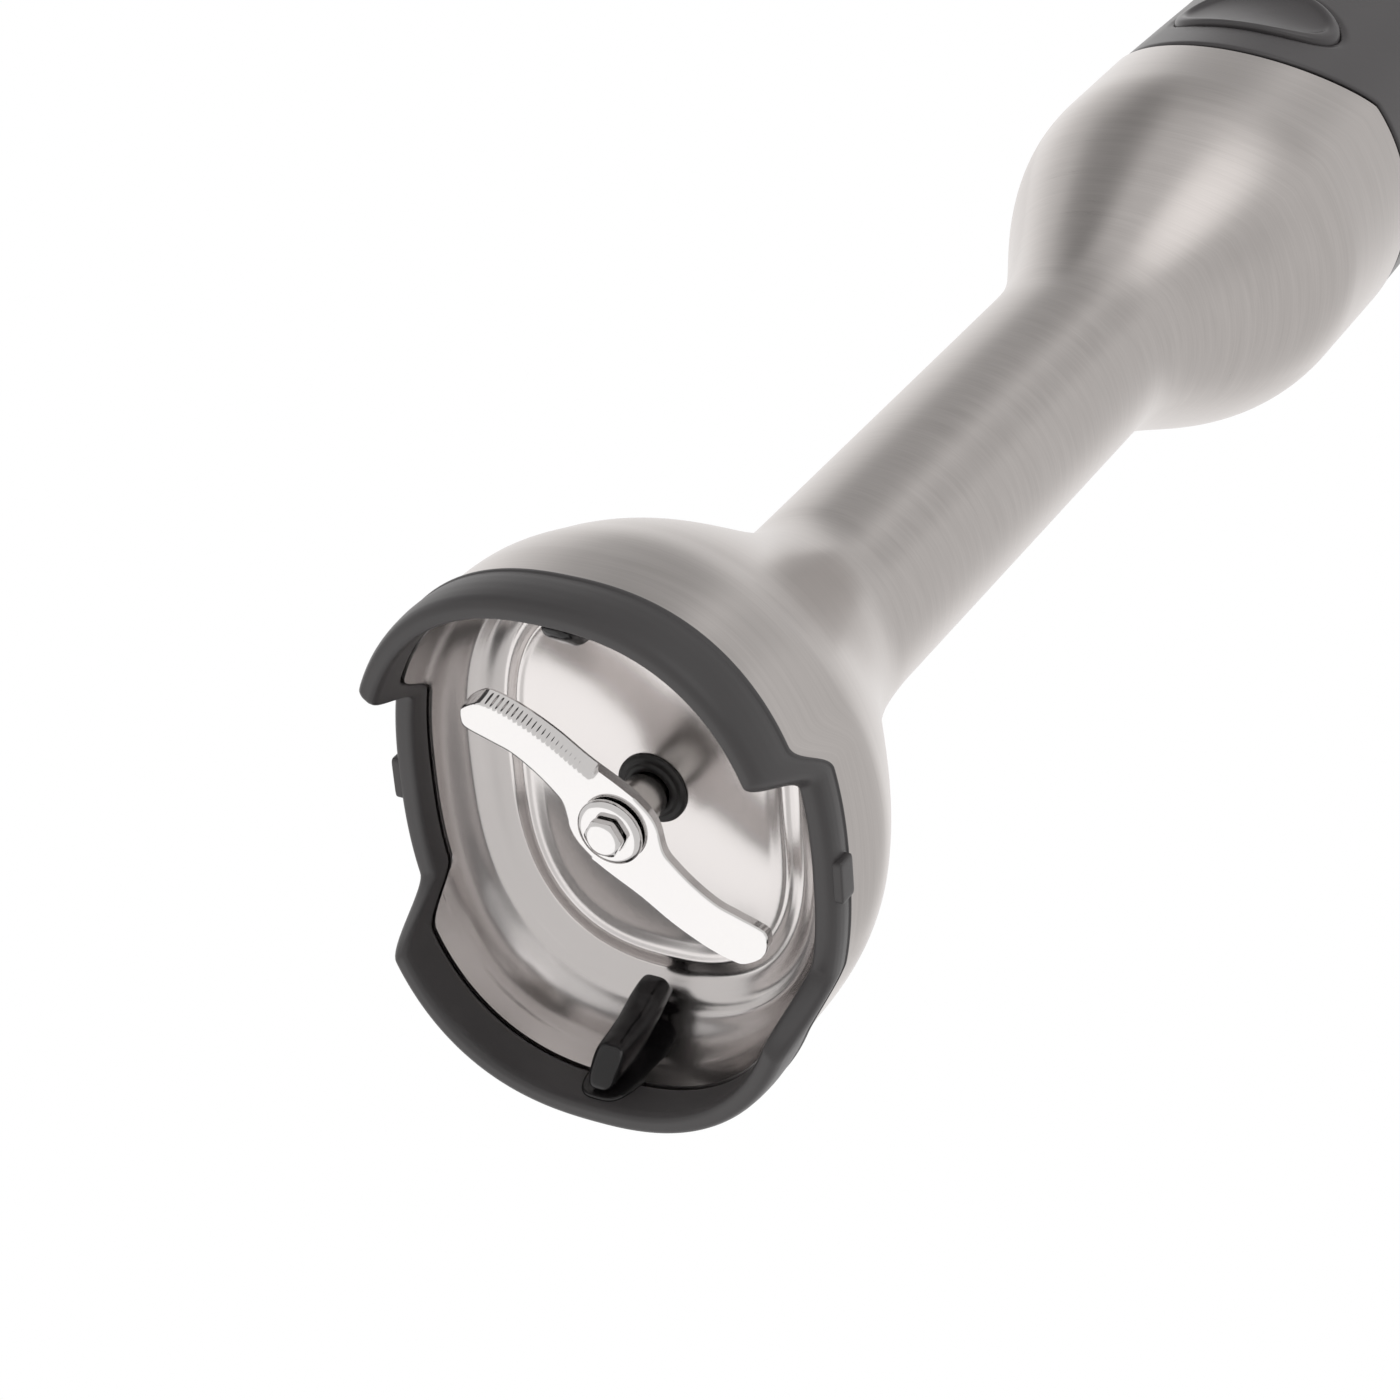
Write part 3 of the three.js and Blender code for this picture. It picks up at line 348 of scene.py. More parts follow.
castIron = satinSteelFinish("castIron", (0.16, 0.16, 0.17), 0.42, 0.60)
print("finishes ready")

# ------------ steel shaft

steel = dict(mouthFoot=30.8, mouthNotch=28.3, rimFoot=31.2, rimNotch=25.5, rimSquareness=2.4,
             rimHeights=(12, 22), wall=0.8, tube=12.0, bulbFoot=24.0, bulbNotch=23.6,
             shoulderFoot=(16, 60), shoulderNotch=(13, 54), riseFoot=(124, 164), riseNotch=(127, 166),
             footHalfAngle=53.5, notchStart=65, notchDepth=9, rimBlend=22, rimStart=1.9,
             seamHeight=184, seamDip=10.5, seamHalfAngle=54)


def awayFromFoot(phi):
    # degrees round from the nearer foot, 0 to 90
    return np.degrees(np.abs(np.arctan2(np.sin(phi), np.abs(np.cos(phi)))))


def inNotch(phi):
    return smoothStep(steel["footHalfAngle"], steel["notchStart"], awayFromFoot(phi))


def rimRise(phi):
    return steel["notchDepth"] * inNotch(phi)


def guardLevel(phi, height):
    # the guard is lower in a notch than on a foot
    return rimRise(phi) + height * mix(1, guard["notchShare"], inNotch(phi))


def seamAt(phi):
    # level at front and back, with a rounded dip under each release button
    away = np.minimum(awayFromFoot(phi) / steel["seamHalfAngle"], 1)
    return steel["seamHeight"] - steel["seamDip"] * (1 - away ** 2) ** 1.15


def steelRadius(height, phi):
    # bell, tube and bulb joined by S curves; wider across the feet than across the notches. At the rim the
    # outline is a rounded oblong, |x / rimFoot| ^ power + |y / rimNotch| ^ power = 1
    def along(mouth, shoulder, rise, bulb):
        bell = mix(mouth, steel["tube"], smoothStep(*shoulder, height))
        return np.where(height < 90, bell, mix(steel["tube"], bulb, smoothStep(*rise, height)))
    foot = along(steel["mouthFoot"], steel["shoulderFoot"], steel["riseFoot"], steel["bulbFoot"])
    notch = along(steel["mouthNotch"], steel["shoulderNotch"], steel["riseNotch"], steel["bulbNotch"])
    power = steel["rimSquareness"]
    across = np.abs(np.cos(phi) / steel["rimFoot"]) ** power
    rim = (across + np.abs(np.sin(phi) / steel["rimNotch"]) ** power) ** (-1 / power)
    return mix(rim, mix(foot, notch, np.sin(phi) ** 2), smoothStep(*steel["rimHeights"], height))


def polar(radius, phi, height):
    radius, phi, height = np.broadcast_arrays(radius, phi, height)
    return np.stack([radius * np.cos(phi), radius * np.sin(phi), height], -1)


def buildHousing():
    # outer levels from rim to seam, then the inner ones back down; the rim's steps fade out above it
    phi = turns(336)[None, :]
    lower, upper = steel["rimStart"], steel["seamHeight"]
    bell, tube, bulb = np.linspace(lower, 66, 96), np.linspace(68, 118, 12), np.linspace(120, upper, 64)
    outside = np.concatenate([bell, tube, bulb])
    inside = np.concatenate([np.linspace(upper, 120, 20), np.linspace(66, lower, 24)])
    level = np.concatenate([outside, inside])[:, None]
    inset = np.concatenate([np.zeros(len(outside)), np.full(len(inside), steel["wall"])])[:, None]
    upperShare = np.clip((level - 120) / (upper - 120), 0, 1)
    height = np.where(level > 120, mix(120, seamAt(phi), upperShare), level)
    lifted = np.clip((steel["rimBlend"] - level) / (steel["rimBlend"] - lower), 0, None)
    height = height + rimRise(phi) * lifted
    points = polar(steelRadius(height, phi) - inset, phi, height)
    return makePiece("shaftHousing", [(points, True, True)], "shaft", brushedSteel,
                     ["shaft_housing"])


liner = dict(wallInset=1.95, lower=5.9, holeRadius=3.9, thickness=0.7,
             corner=[(0.0, 9.0), (0.1, 11.2), (0.75, 13.3), (1.9, 15.2), (2.5, 16.1), (3.1, 16.5),
                     (3.9, 16.9), (5.0, 17.9), (5.9, 18.45), (6.9, 18.35), (7.7, 18.15), (8.6, 18.4),
                     (10.0, 18.55)])


def linerCurve(phi, offset=0.0, steps=6):
    # rows of [radius, height]: up the wall, round the pressed corner with its two soft ridges, and
    # along the ceiling
    phi = np.atleast_1d(phi)
    corner = throughPoints(liner["corner"], steps)
    wallShare = np.linspace(0, 1, 14, endpoint=False)[:, None]
    cornerFoot = corner[0, 1]
    foot = guardLevel(phi, liner["lower"])[None, :]
    wallHeight = np.where(foot > cornerFoot, foot + wallShare * 0.01, mix(foot, cornerFoot, wallShare))
    wallRadius = steelRadius(wallHeight, phi[None, :]) - liner["wallInset"] + offset
    base = steelRadius(np.full(len(phi), 13.0), phi) - liner["wallInset"]
    cornerHeight = np.maximum(corner[:, 1:2], foot + 0.02)
    cornerRadius = base[None, :] - corner[:, :1] + offset
    ceilingShare = np.linspace(0, 1, 30)[1:, None]
    ceilingRadius = mix(cornerRadius[-1:], liner["holeRadius"], ceilingShare)
    ceilingHeight = corner[-1, 1] - 0.05 * ceilingShare * np.ones((1, len(phi)))
    radius = np.vstack([wallRadius, cornerRadius, ceilingRadius])
    height = np.vstack([wallHeight, cornerHeight, ceilingHeight])
    return radius, height


def buildLiner():
    phi = turns(288)
    radius, height = linerCurve(phi)
    inner = polar(radius, phi[None, :], height)
    # the hidden side follows the visible one, a thickness further out and up
    outerRadius, outerHeight = linerCurve(phi, liner["thickness"], steps=2)
    lifted = outerHeight + liner["thickness"] * smoothStep(10.5, 18, outerHeight)
    outer = polar(outerRadius, phi[None, :], lifted)[::-1]
    return makePiece("bellLiner", [(np.concatenate([inner, outer]), True, True)], "shaft",
                     linerSteel, ["bell_liner"])


guard = dict(tabWidth=5.0, tabHeight=2.7, tabThickness=0.75, tabMiddle=1.8, notchShare=0.55,
             section=[(-1.15, 0.0), (-0.25, 0.0), (0.35, 0.28), (0.72, 1.0), (0.88, 2.2), (0.95, 3.6),
                      (0.9, 5.0), (0.76, 6.1), (0.88, 6.32), (0.88, 6.72), (0.6, 7.0), (0.2, 7.0),
                      (0.2, 1.6), (-1.0, 1.6), (-1.0, 5.6), (-1.62, 5.6), (-1.82, 5.2), (-1.84, 3.0),
                      (-1.78, 1.0), (-1.55, 0.25)])


def buildGuard():
    # a hooked section carried round the rim, lifted by the rim's own steps
    phi = turns(480)[None, :]
    section = roundedLoop(guard["section"], 0.35, 3)
    height = guardLevel(phi, section[:, 1:])
    points = polar(steelRadius(height, phi) + section[:, :1], phi, height)
    grids = [(points, True, True)]
    for side in (-1, 1):
        face = steel["rimNotch"] + 0.85
        grids.append(blobGrid((guard["tabWidth"], 2 * guard["tabThickness"], guard["tabHeight"]),
                              (0, side * face, steel["notchDepth"] + guard["tabMiddle"]), 0.22))
    return makePiece("rimGuard", grids, "shaft", guardPlastic, ["rim_guard"])


rib = dict(flangeWidth=6.9, flangeThickness=1.3, barWidth=4.0, barDepth=4.3,
           flangePath=[(24.6, 17.8), (26.5, 16.4), (28.4, 14.0), (29.5, 11.2), (29.75, 8.0), (29.6, 4.6),
                       (29.5, 1.4)],
           barPath=[(24.6, 17.0), (24.0, 15.4), (24.9, 12.2), (26.0, 9.4), (26.5, 7.0), (26.8, 4.4),
                    (27.8, 2.0)])


def alongPath(path, count):
    # evenly spaced points on the smooth curve through a path, with the directions along and across it
    curve = throughPoints(path, 24)
    gone = np.concatenate([[0], np.cumsum(np.hypot(*np.diff(curve, axis=0).T))])
    share = np.asarray(count) if np.ndim(count) else np.linspace(0, 1, count)
    placeAt = lambda part: np.stack([np.interp(part * gone[-1], gone, curve[:, k]) for k in (0, 1)], -1)
    at = placeAt(share)
    ahead = placeAt(np.minimum(share + 0.01, 1))
    behind = placeAt(np.maximum(share - 0.01, 0))
    along = (ahead - behind) / np.linalg.norm(ahead - behind, axis=-1, keepdims=True)
    return at, along


def bentPad(path, width, thickness, powerOutline, powerEdge, rows=64, columns=64, lift=0.0):
    # a rounded pad laid along a path: a superellipse outline, bent with the path and domed across it
    b = np.linspace(-math.pi / 2, math.pi / 2, columns)[None, :]
    a = np.linspace(0, 2 * math.pi, rows, endpoint=False)[:, None]
    power = lambda x, e: np.sign(x) * np.abs(x) ** e
    alongShare = 0.5 + 0.5 * power(np.cos(a), powerOutline) * power(np.cos(b), powerEdge)
    across = 0.5 * width * power(np.sin(a), powerOutline) * power(np.cos(b), powerEdge)
    normal = 0.5 * thickness * power(np.sin(b), powerEdge) * np.ones_like(a) + lift
    at, along = alongPath(path, alongShare)
    inward = np.stack([-np.abs(along[..., 1]), along[..., 0] * np.sign(-along[..., 1])], -1)
    place = at + inward * normal[..., None]
    return np.stack([place[..., 0], across * np.ones_like(place[..., 0]), place[..., 1]], -1)


def buildRib(name, node, side):
    flange = bentPad(rib["flangePath"], rib["flangeWidth"], rib["flangeThickness"], 0.62, 0.35)
    bar = bentPad(rib["barPath"], rib["barWidth"], rib["barDepth"], 0.55, 0.8)
    grids = []
    for pad in (flange, bar):
        pad = pad * (side, side, 1)
        grids.append((np.transpose(pad, (1, 0, 2)), True, False))
    return makePiece(name, grids, "shaft", glossBlack, [node])


def buildSeal():
    # soft ring with a raised lip round the spindle
    corners = [(2.15, 18.1), (2.5, 17.7), (3.0, 17.75), (3.25, 18.05), (3.75, 17.95), (4.15, 18.25),
               (4.1, 18.5), (3.6, 18.6), (3.6, 22.3), (3.0, 22.3), (2.15, 20.3)]
    return makePiece("shaftSeal", [turnedGrid(corners, 0.2, 96)], "shaft", sealRubber,
                     ["shaft_seal"])


def buildNeck():
    # plug in the top of the bulb, with the neck and locking groove that enter the handle
    corners = [(10.6, 161), (16.5, 161), (21.3, 166), (21.3, 172), (18.4, 172.4), (18.4, 185),
               (16.8, 185.8), (16.8, 188.6), (18.4, 189.4), (18.4, 196), (17.4, 197), (10.6, 197)]
    return makePiece("shaftCollar", [turnedGrid(corners, 0.5, 160)], "shaft", nylon,
                     ["shaft_collar"])


buildHousing()
buildLiner()
buildGuard()
buildRib("ribRight", "rib_right", 1)
buildRib("ribLeft", "rib_left", -1)
buildSeal()
buildNeck()
print("shaft built")

# ------------ blade and drive line

bladeForm = dict(plane=9.8, thickness=1.2, turn=-56.0, fluteCount=26, fluteDepth=0.16,
                 bevelWidth=1.9, bevelDepth=0.95,
                 leading=[(0.0, 5.35), (2.6, 5.25), (5.5, 5.0), (7.4, 4.92), (10.5, 4.95), (13.5, 4.7),
                          (16.3, 4.2), (18.9, 3.3), (20.4, 2.2)],
                 trailing=[(0.0, -5.35), (2.1, -4.95), (3.7, -4.1), (5.7, -2.1), (7.4, -1.5),
                           (10.3, -1.1), (13.4, -1.15), (15.9, -1.8), (18.9, -2.6), (20.4, -2.3)])


def buildBlade():
    # x runs from tip to tip; at each x the section runs from one edge to the other. Half a turn maps the
    # blade
    # onto itself, so the lower edge at x is the upper edge at -x turned over.
    reach = 20.6
    share = np.linspace(-1, 1, 641)
    x = reach * np.sin(share * math.pi / 2 * 0.999) * 0.35 + reach * share * 0.65
    lead = throughPoints(bladeForm["leading"], 10)
    trail = throughPoints(bladeForm["trailing"], 10)
    leadEdge = np.interp(np.abs(x), lead[:, 0], lead[:, 1])
    trailEdge = np.interp(np.abs(x), trail[:, 0], trail[:, 1])
    upper = np.where(x >= 0, leadEdge, -trailEdge)
    lower = np.where(x >= 0, trailEdge, -leadEdge)
    # rounded tips: the edges close together over the last part of the reach
    closing = np.sqrt(np.clip(1 - (np.clip(np.abs(x) - (reach - 1.5), 0, None) / 1.5) ** 2, 0, 1))
    middle = (upper + lower) / 2
    upper, lower = middle + (upper - middle) * closing, middle + (lower - middle) * closing
    t = np.concatenate([np.linspace(0, 0.18, 9), np.linspace(0.2, 0.8, 16), np.linspace(0.82, 1, 9)])
    y = lower[:, None] + (upper - lower)[:, None] * t[None, :]
    # ground bevel on each arm's convex edge, with flutes along it
    toLead = np.where(x[:, None] < 0, y - lower[:, None], upper[:, None] - y)
    onArm = smoothStep(4.6, 5.4, np.abs(x))[:, None]
    slope = np.clip(1 - toLead / bladeForm["bevelWidth"], 0, 1) * onArm
    flute = 0.5 + 0.5 * np.cos(np.abs(x) * 2 * math.pi * bladeForm["fluteCount"] / 16.0)
    fluted = smoothStep(5.0, 7.0, np.abs(x)) * (1 - smoothStep(17.5, 19.5, np.abs(x)))
    fluteDepth = (bladeForm["fluteDepth"] * flute * fluted)[:, None] * np.sin(np.clip(slope, 0, 1) * math.pi)
    cutDepth = slope * bladeForm["bevelDepth"] - fluteDepth
    # one arm is ground from below and the other from above
    fromBelow = (x < 0)[:, None]
    bottom = bladeForm["plane"] + np.where(fromBelow, cutDepth, 0)
    top = bladeForm["plane"] + bladeForm["thickness"] - np.where(fromBelow, 0, cutDepth)
    # soft edge on the other side
    toTrail = np.where(x[:, None] < 0, upper[:, None] - y, y - lower[:, None])
    edge = 0.12 * np.clip(1 - toTrail / 0.25, 0, 1)
    turn = math.radians(bladeForm["turn"])
    xs = x[:, None] * np.ones_like(y)
    def place(height):
        turnedX = xs * math.cos(turn) - y * math.sin(turn)
        turnedY = xs * math.sin(turn) + y * math.cos(turn)
        return np.stack([turnedX, turnedY, height], -1)
    loop = np.concatenate([place(bottom + edge), place(top - edge)[:, ::-1]], 1)
    return makePiece("blade", [(loop, True, False)], "drive_line",
                     bladeSteel, ["blade"],
                     sharpAngle=24)


def buildFastenings():
    washer = [(1.6, 8.6), (3.3, 8.6), (3.85, 9.0), (3.85, 9.5), (1.6, 9.5)]
    makePiece("bladeWasher", [turnedGrid(washer, 0.35, 96, steps=6)], "drive_line",
              bladeSteel, ["blade_washer"])

    def hexagon(r, z, phi):
        # the radius is cut back to six flats
        flat = 2.0 / np.cos((phi + math.pi / 6) % (math.pi / 3) - math.pi / 6)
        return np.minimum(r, flat * np.minimum(r / 2.0, 1))
    nut = [(0, 7.3), (1.7, 7.3), (2.28, 7.62), (2.28, 8.3), (0, 8.3)]
    makePiece("bladeNut", [turnedGrid(nut, 0.16, 144, scallop=hexagon)], "drive_line",
              bladeSteel, ["blade_nut"])
    spacer = [(2.1, 11.3), (2.9, 11.3), (2.9, 12.6), (2.5, 17.1), (2.1, 17.1)]
    makePiece("bladeSpacer", [turnedGrid(spacer, 0.2, 96)], "drive_line", shaftSteel,
              ["blade_spacer"])


def buildSpindle():
    # plain ground shaft with shallow flats where it shows under the bell's ceiling
    def splined(r, z, phi):
        shown = smoothStep(11, 12, z) * (1 - smoothStep(26, 28, z))
        return r * (1 - 0.025 * (0.5 + 0.5 * np.cos(14 * phi)) * shown)
    corners = [(0, 8.5), (1.5, 8.5), (1.5, 11.3), (2.0, 11.3), (2.0, 13), (2.0, 25), (2.0, 40),
               (2.0, 178), (0, 178)]
    makePiece("driveShaft", [turnedGrid(corners, 0.15, 112, scallop=splined)], "drive_line",
              shaftSteel, ["drive_shaft"])


def buildCouplings():
    def hexSocket(r, z, phi):
        flat = 3.9 / np.cos((phi + math.pi / 6) % (math.pi / 3) - math.pi / 6)
        return np.where((r < 5.2) & (z > 182), np.minimum(r, flat), r)
    driven = [(2.1, 172), (4.5, 172), (4.5, 178.3), (7.4, 178.3), (9.6, 181), (9.6, 193), (4.55, 193),
              (4.5, 183.5), (2.1, 183.4)]
    makePiece("drivenCoupling", [turnedGrid(driven, 0.5, 144, scallop=hexSocket)], "drive_line",
              nylon, ["driven_coupling"])

    def hexNose(r, z, phi):
        flat = 3.5 / np.cos((phi + math.pi / 6) % (math.pi / 3) - math.pi / 6)
        return np.where(z < 195, np.minimum(r, flat), r)
    drive = [(0, 184.5), (3.6, 184.5), (4.04, 185.4), (4.04, 194.8), (8.6, 195), (8.6, 204), (2.3, 204),
             (2.3, 198), (0, 198)]
    makePiece("driveCoupling", [turnedGrid(drive, 0.3, 144, scallop=hexNose)], "rotor",
              castIron, ["drive_coupling"])


buildBlade()
buildFastenings()
buildSpindle()
buildCouplings()
print("drive line built")

# ------------ handle

handle = dict(collarTop=212.0, shellBottom=212.35, shellTop=384.0,
              stations=[(172, 24.0, 23.6, 0), (192, 23.4, 23.4, 0), (214, 22.8, 23.2, 0),
                        (262, 22.4, 23.6, 0.6), (306, 24.0, 26.4, 1.6), (346, 27.0, 30.4, 1.6),
                        (374, 28.6, 32.6, 0), (384, 28.2, 32.0, 0), (393, 25.2, 28.6, 0)])


def handleSection(height):
    # half-width, half-depth and lean at a height, on smooth curves between the stations
    s = np.array(handle["stations"], float)
    height = np.asarray(height, float)
    k = np.clip(np.searchsorted(s[:, 0], height, side="right") - 1, 0, len(s) - 2)
    gap = s[k + 1, 0] - s[k, 0]
    t = np.clip((height - s[k, 0]) / gap, 0, 1)
    before, after = np.maximum(k - 1, 0), np.minimum(k + 2, len(s) - 1)
    out = []
    for column in (1, 2, 3):
        a, b = s[k, column], s[k + 1, column]
        c = (s[k + 1, column] - s[before, column]) / (s[k + 1, 0] - s[before, 0]) * gap
        d = (s[after, column] - s[k, column]) / (s[after, 0] - s[k, 0]) * gap
        out.append(a + t * (c + t * (3 * (b - a) - 2 * c - d + t * (2 * (a - b) + c + d))))
    return out


def handlePoint(phi, height, inset=0.0):
    phi, height, inset = np.broadcast_arrays(phi, height, inset)
    width, depth, lean = handleSection(height)
    return np.stack([(width - inset) * np.cos(phi), lean + (depth - inset) * np.sin(phi), height], -1)


def buildSkin(name, node, phiSpan, lowAt, highAt, rows, columns, material, body="handle",
              windows=(), wall=2.2, edge=0.35, lift=0.0, relief=None, closed=False):
    # one sheet of the handle's surface with softened borders and windows, made thick inwards. A window is
    # (axis, sign, centre, middle height, half-width, half-height, power), a superellipse seen along its axis
    softBorder = lambda away: edge * (1 - np.sqrt(1 - np.clip(1 - away / (2 * edge), 0, 1) ** 2))
    if closed:
        phi = turns(columns)[None, :]
    else:
        phi = np.linspace(phiSpan[0], phiSpan[1], columns)[None, :]
    share = np.linspace(0, 1, rows)[:, None]
    low, high = lowAt(phi), highAt(phi)
    height = mix(low, high, share)
    inset = softBorder(np.minimum(height - low, high - height))
    if not closed:
        radius = 24.0
        side = np.minimum(phi - phiSpan[0], phiSpan[1] - phi) * radius
        inset = inset + softBorder(side)
    if relief is not None:
        inset = inset + relief(phi, height)
    points = handlePoint(phi, height, inset - lift)
    inside = np.zeros(points.shape[:2], bool)
    for axis, sign, centre, middle, halfWidth, halfHeight, power in windows:
        a = (points[..., 1 - axis] - centre) / halfWidth
        b = (points[..., 2] - middle) / halfHeight
        q = (np.abs(a) ** power + np.abs(b) ** power) ** (1 / power)
        onSide = points[..., axis] * sign > 0
        within = (q < 1) & onSide
        newPhi = np.broadcast_to(phi, q.shape).copy()
        # vertices just inside are moved out on to the window's edge
        newA, newB = a / np.maximum(q, 1e-6), b / np.maximum(q, 1e-6)
        newHeight = np.where(within, newB * halfHeight + middle, points[..., 2])
        width, depth, lean = handleSection(newHeight)
        target = newA * halfWidth + centre
        if axis == 0:
            newPhi = np.where(within, np.arcsin(np.clip((target - lean) / depth, -1, 1)), newPhi)
            newPhi = np.where(within & (sign < 0), math.pi - newPhi, newPhi)
        else:
            newPhi = np.where(within, sign * np.arccos(np.clip(target / width, -1, 1)), newPhi)
        soften = 0.3 * hump(q, 1, 0.06) * onSide
        moved = handlePoint(newPhi, newHeight, np.where(within, 0.3, inset + soften) - lift)
        points = np.where((within | (onSide & (q < 1.06)))[..., None], moved, points)
        inside |= within
    keep = None
    if windows:
        corner = inside
        nextCol = np.roll(corner, -1, 1) if closed else corner[:, 1:]
        here = corner if closed else corner[:, :-1]
        allIn = here[:-1] & nextCol[:-1] & here[1:] & nextCol[1:]
        keep = ~allIn.reshape(-1)
    piece = makePiece(name, [(points, closed, False)], body, material, [node], keepFaces=keep)
    thick = piece.modifiers.new("wall", "SOLIDIFY")
    thick.thickness = wall * 0.001
    thick.offset = -1.0
    thick.use_even_offset = True
    return piece


button = dict(height=189.5, halfWidth=11.5, halfHeight=7.5, gap=0.35,
              tongue=(2.2, 5, 2.4), tonguePlace=(20.8, 187.2), back=1.8)


def buildCollar():
    halfWidth, halfHeight = button["halfWidth"] + button["gap"], button["halfHeight"] + button["gap"]
    oval = [(0, sign, 0, button["height"], halfWidth, halfHeight, 2) for sign in (1, -1)]
    return buildSkin("handleCollar", "handle_collar", None, lambda phi: seamAt(phi) + 1.2,
                     flat(handle["collarTop"]), 110, 420, charcoalPlastic,
                     windows=oval, closed=True, wall=2.1)


def buildSeamRing():
    phi = turns(240)[None, :]
    section = roundedLoop([(0.30, 0.3), (0.30, 0.9), (2.2, 0.9), (2.2, 0.3)], 0.2, 3)
    height = seamAt(phi) + section[:, 1:]
    points = handlePoint(phi, height, section[:, :1] * np.ones_like(phi))
    return makePiece("seamRing", [(points, True, True)], "handle",
                     sealRubber, ["seam_ring"])


def buildButton(name, node, side):
    # an oval cap: rings of one ellipse from its edge to its middle, raised ring first, then a dish
    turn = turns(144)[None, :]
    rings = [(1, -button["back"]), (1, -0.8), (1, 0.0), (0.995, 0.28), (0.98, 0.48), (0.955, 0.58),
             (0.93, 0.62), (0.9, 0.6), (0.87, 0.45), (0.84, 0.2), (0.8, -0.02), (0.74, -0.18), (0.66, -0.32),
             (0.56, -0.46), (0.45, -0.56), (0.33, -0.64), (0.2, -0.69), (0.08, -0.71), (0, -0.71)]
    back = [(part, -button["back"]) for part in (0.0, 0.2, 0.4, 0.6, 0.8, 0.9)]
    share, rise = np.array(back + rings).T[..., None]
    y = button["halfWidth"] * share * np.cos(turn)
    z = button["height"] + button["halfHeight"] * share * np.sin(turn)
    width, depth, lean = handleSection(z)
    x = width * np.sqrt(np.clip(1 - (y / depth) ** 2, 0, 1)) + rise
    points = np.stack([side * x, side * y, z], -1)
    body = "right_button" if side > 0 else "left_button"
    reach, level = button["tonguePlace"]
    tongue = blobGrid(button["tongue"], (side * reach, 0, level), 0.2)
    return makePiece(name, [(points, True, False), tongue], body, buttonPlastic, [node])


shell = dict(seamTurn=0.35, screwHole=2.6, screws=[(-13, 218.6), (13, 218.6), (-15, 366), (15, 366)])
grip = dict(low=216.0, high=276.0, halfAngle=48.0, proud=1.3, ribs=14, ribDepth=0.45)
pad = dict(low=286.3, high=325.7, halfTurn=0.368, proud=1.6, hollow=1.3,
           window=(1, -1, 0, 305.5, 9.95, 20.9, 7))


def flat(value):
    return lambda phi: np.full_like(phi, value)


def buildShells():
    seam, bottom, top = math.radians(shell["seamTurn"]), flat(handle["shellBottom"]), flat(handle["shellTop"])
    buildSkin("frontShell", "front_shell", (math.pi + seam, 2 * math.pi - seam), bottom, top, 260, 190,
              charcoalPlastic, windows=[pad["window"]])
    hole = shell["screwHole"]
    buildSkin("backShell", "back_shell", (seam, math.pi - seam), bottom, top, 300, 200, charcoalPlastic,
              windows=[(1, 1, x, z, hole, hole, 2) for x, z in shell["screws"]])


def buildGrip():
    def gripRelief(phi, height):
        # shallow cross ribs that fade out towards the grip's border
        across = np.degrees(np.abs(phi + math.pi / 2))
        upDown = smoothStep(221, 226, height) * (1 - smoothStep(266, 271, height))
        inside = (1 - smoothStep(34, 42, across)) * upDown
        wave = (height - grip["low"]) / (grip["high"] - grip["low"]) * grip["ribs"]
        return grip["ribDepth"] * inside * (0.5 - 0.5 * np.cos(2 * math.pi * wave))
    span = math.radians(grip["halfAngle"])
    buildSkin("frontGrip", "front_grip", (-math.pi / 2 - span, -math.pi / 2 + span), flat(grip["low"]),
              flat(grip["high"]), 240, 90, softTouch, lift=grip["proud"], edge=0.7, wall=1.0,
              relief=gripRelief)


def buildTrigger():
    def hollow(phi, height):
        share = (height - 286) / 40
        rolledEdge = 0.5 * hump(np.abs(phi + math.pi / 2), 0.36, 0.06)
        return pad["hollow"] * np.sin(math.pi * np.clip(share, 0, 1)) ** 2 + rolledEdge
    front, half = -math.pi / 2, pad["halfTurn"]
    return buildSkin("triggerPad", "trigger", (front - half, front + half),
                     flat(pad["low"]), flat(pad["high"]), 120, 60, softTouch,
                     body="trigger_lever", lift=pad["proud"], edge=0.8, wall=2.4, relief=hollow)


def buildTop():
    # the cap: rings from the shells' top edge over a rounded shoulder to the middle, and back underneath
    turn = turns(144)[None, :]
    rows = [(384.3, 2.2, 1.0), (384.3, 0.3, 1.0), (384.6, 0.0, 1.0), (386, 0.0, 1.0), (388, 0.0, 1.0),
            (389.6, 0.05, 1.0), (390.6, 0.35, 1.0), (391.2, 0.9, 1.0), (391.55, 1.8, 1.0),
            (391.6, 3.2, 1.0), (391.6, 0, 0.7), (391.6, 0, 0.35), (391.6, 0, 0), (389.2, 0, 0),
            (389.2, 0, 0.5), (389.2, 2.9, 1.0), (388.6, 2.3, 1.0), (386, 2.2, 1.0)]
    height, inset, share = np.array(rows).T[..., None]
    points = handlePoint(turn, height, inset)
    points[..., :2] *= np.where(share < 1, share * 0.9, 1)[..., None]
    makePiece("topCap", [(points, True, True)], "handle",
              charcoalPlastic, ["top_cap"])


knob = dict(forward=8, flutes=18, fluteDepth=0.55, markOut=11.0)


def buildKnob():
    def knurl(r, z, phi):
        # finger flutes down the dial's side
        deep = smoothStep(393.6, 394.6, z) * (1 - smoothStep(400.6, 401.4, z)) * (r > 12)
        return r - knob["fluteDepth"] * deep * (0.5 + 0.5 * np.cos(knob["flutes"] * phi)) ** 1.5
    dial = [(0, 380.6), (3, 380.6), (3, 392.4), (13.5, 392.4), (14.5, 393.4), (14.5, 400.2), (13.0, 402),
            (9.8, 402), (7.6, 400.8), (0, 400.8)]
    mark = blobGrid((1.1, 5.0, 0.8), (0, -knob["forward"] - knob["markOut"], 401.9), 0.4)
    mark[0][..., 2] = np.minimum(mark[0][..., 2], 402)
    makePiece("speedDial", [turnedGrid(dial, 0.6, 216, (0, -knob["forward"]), knurl), mark], "dial",
              buttonPlastic, ["speed_dial"])


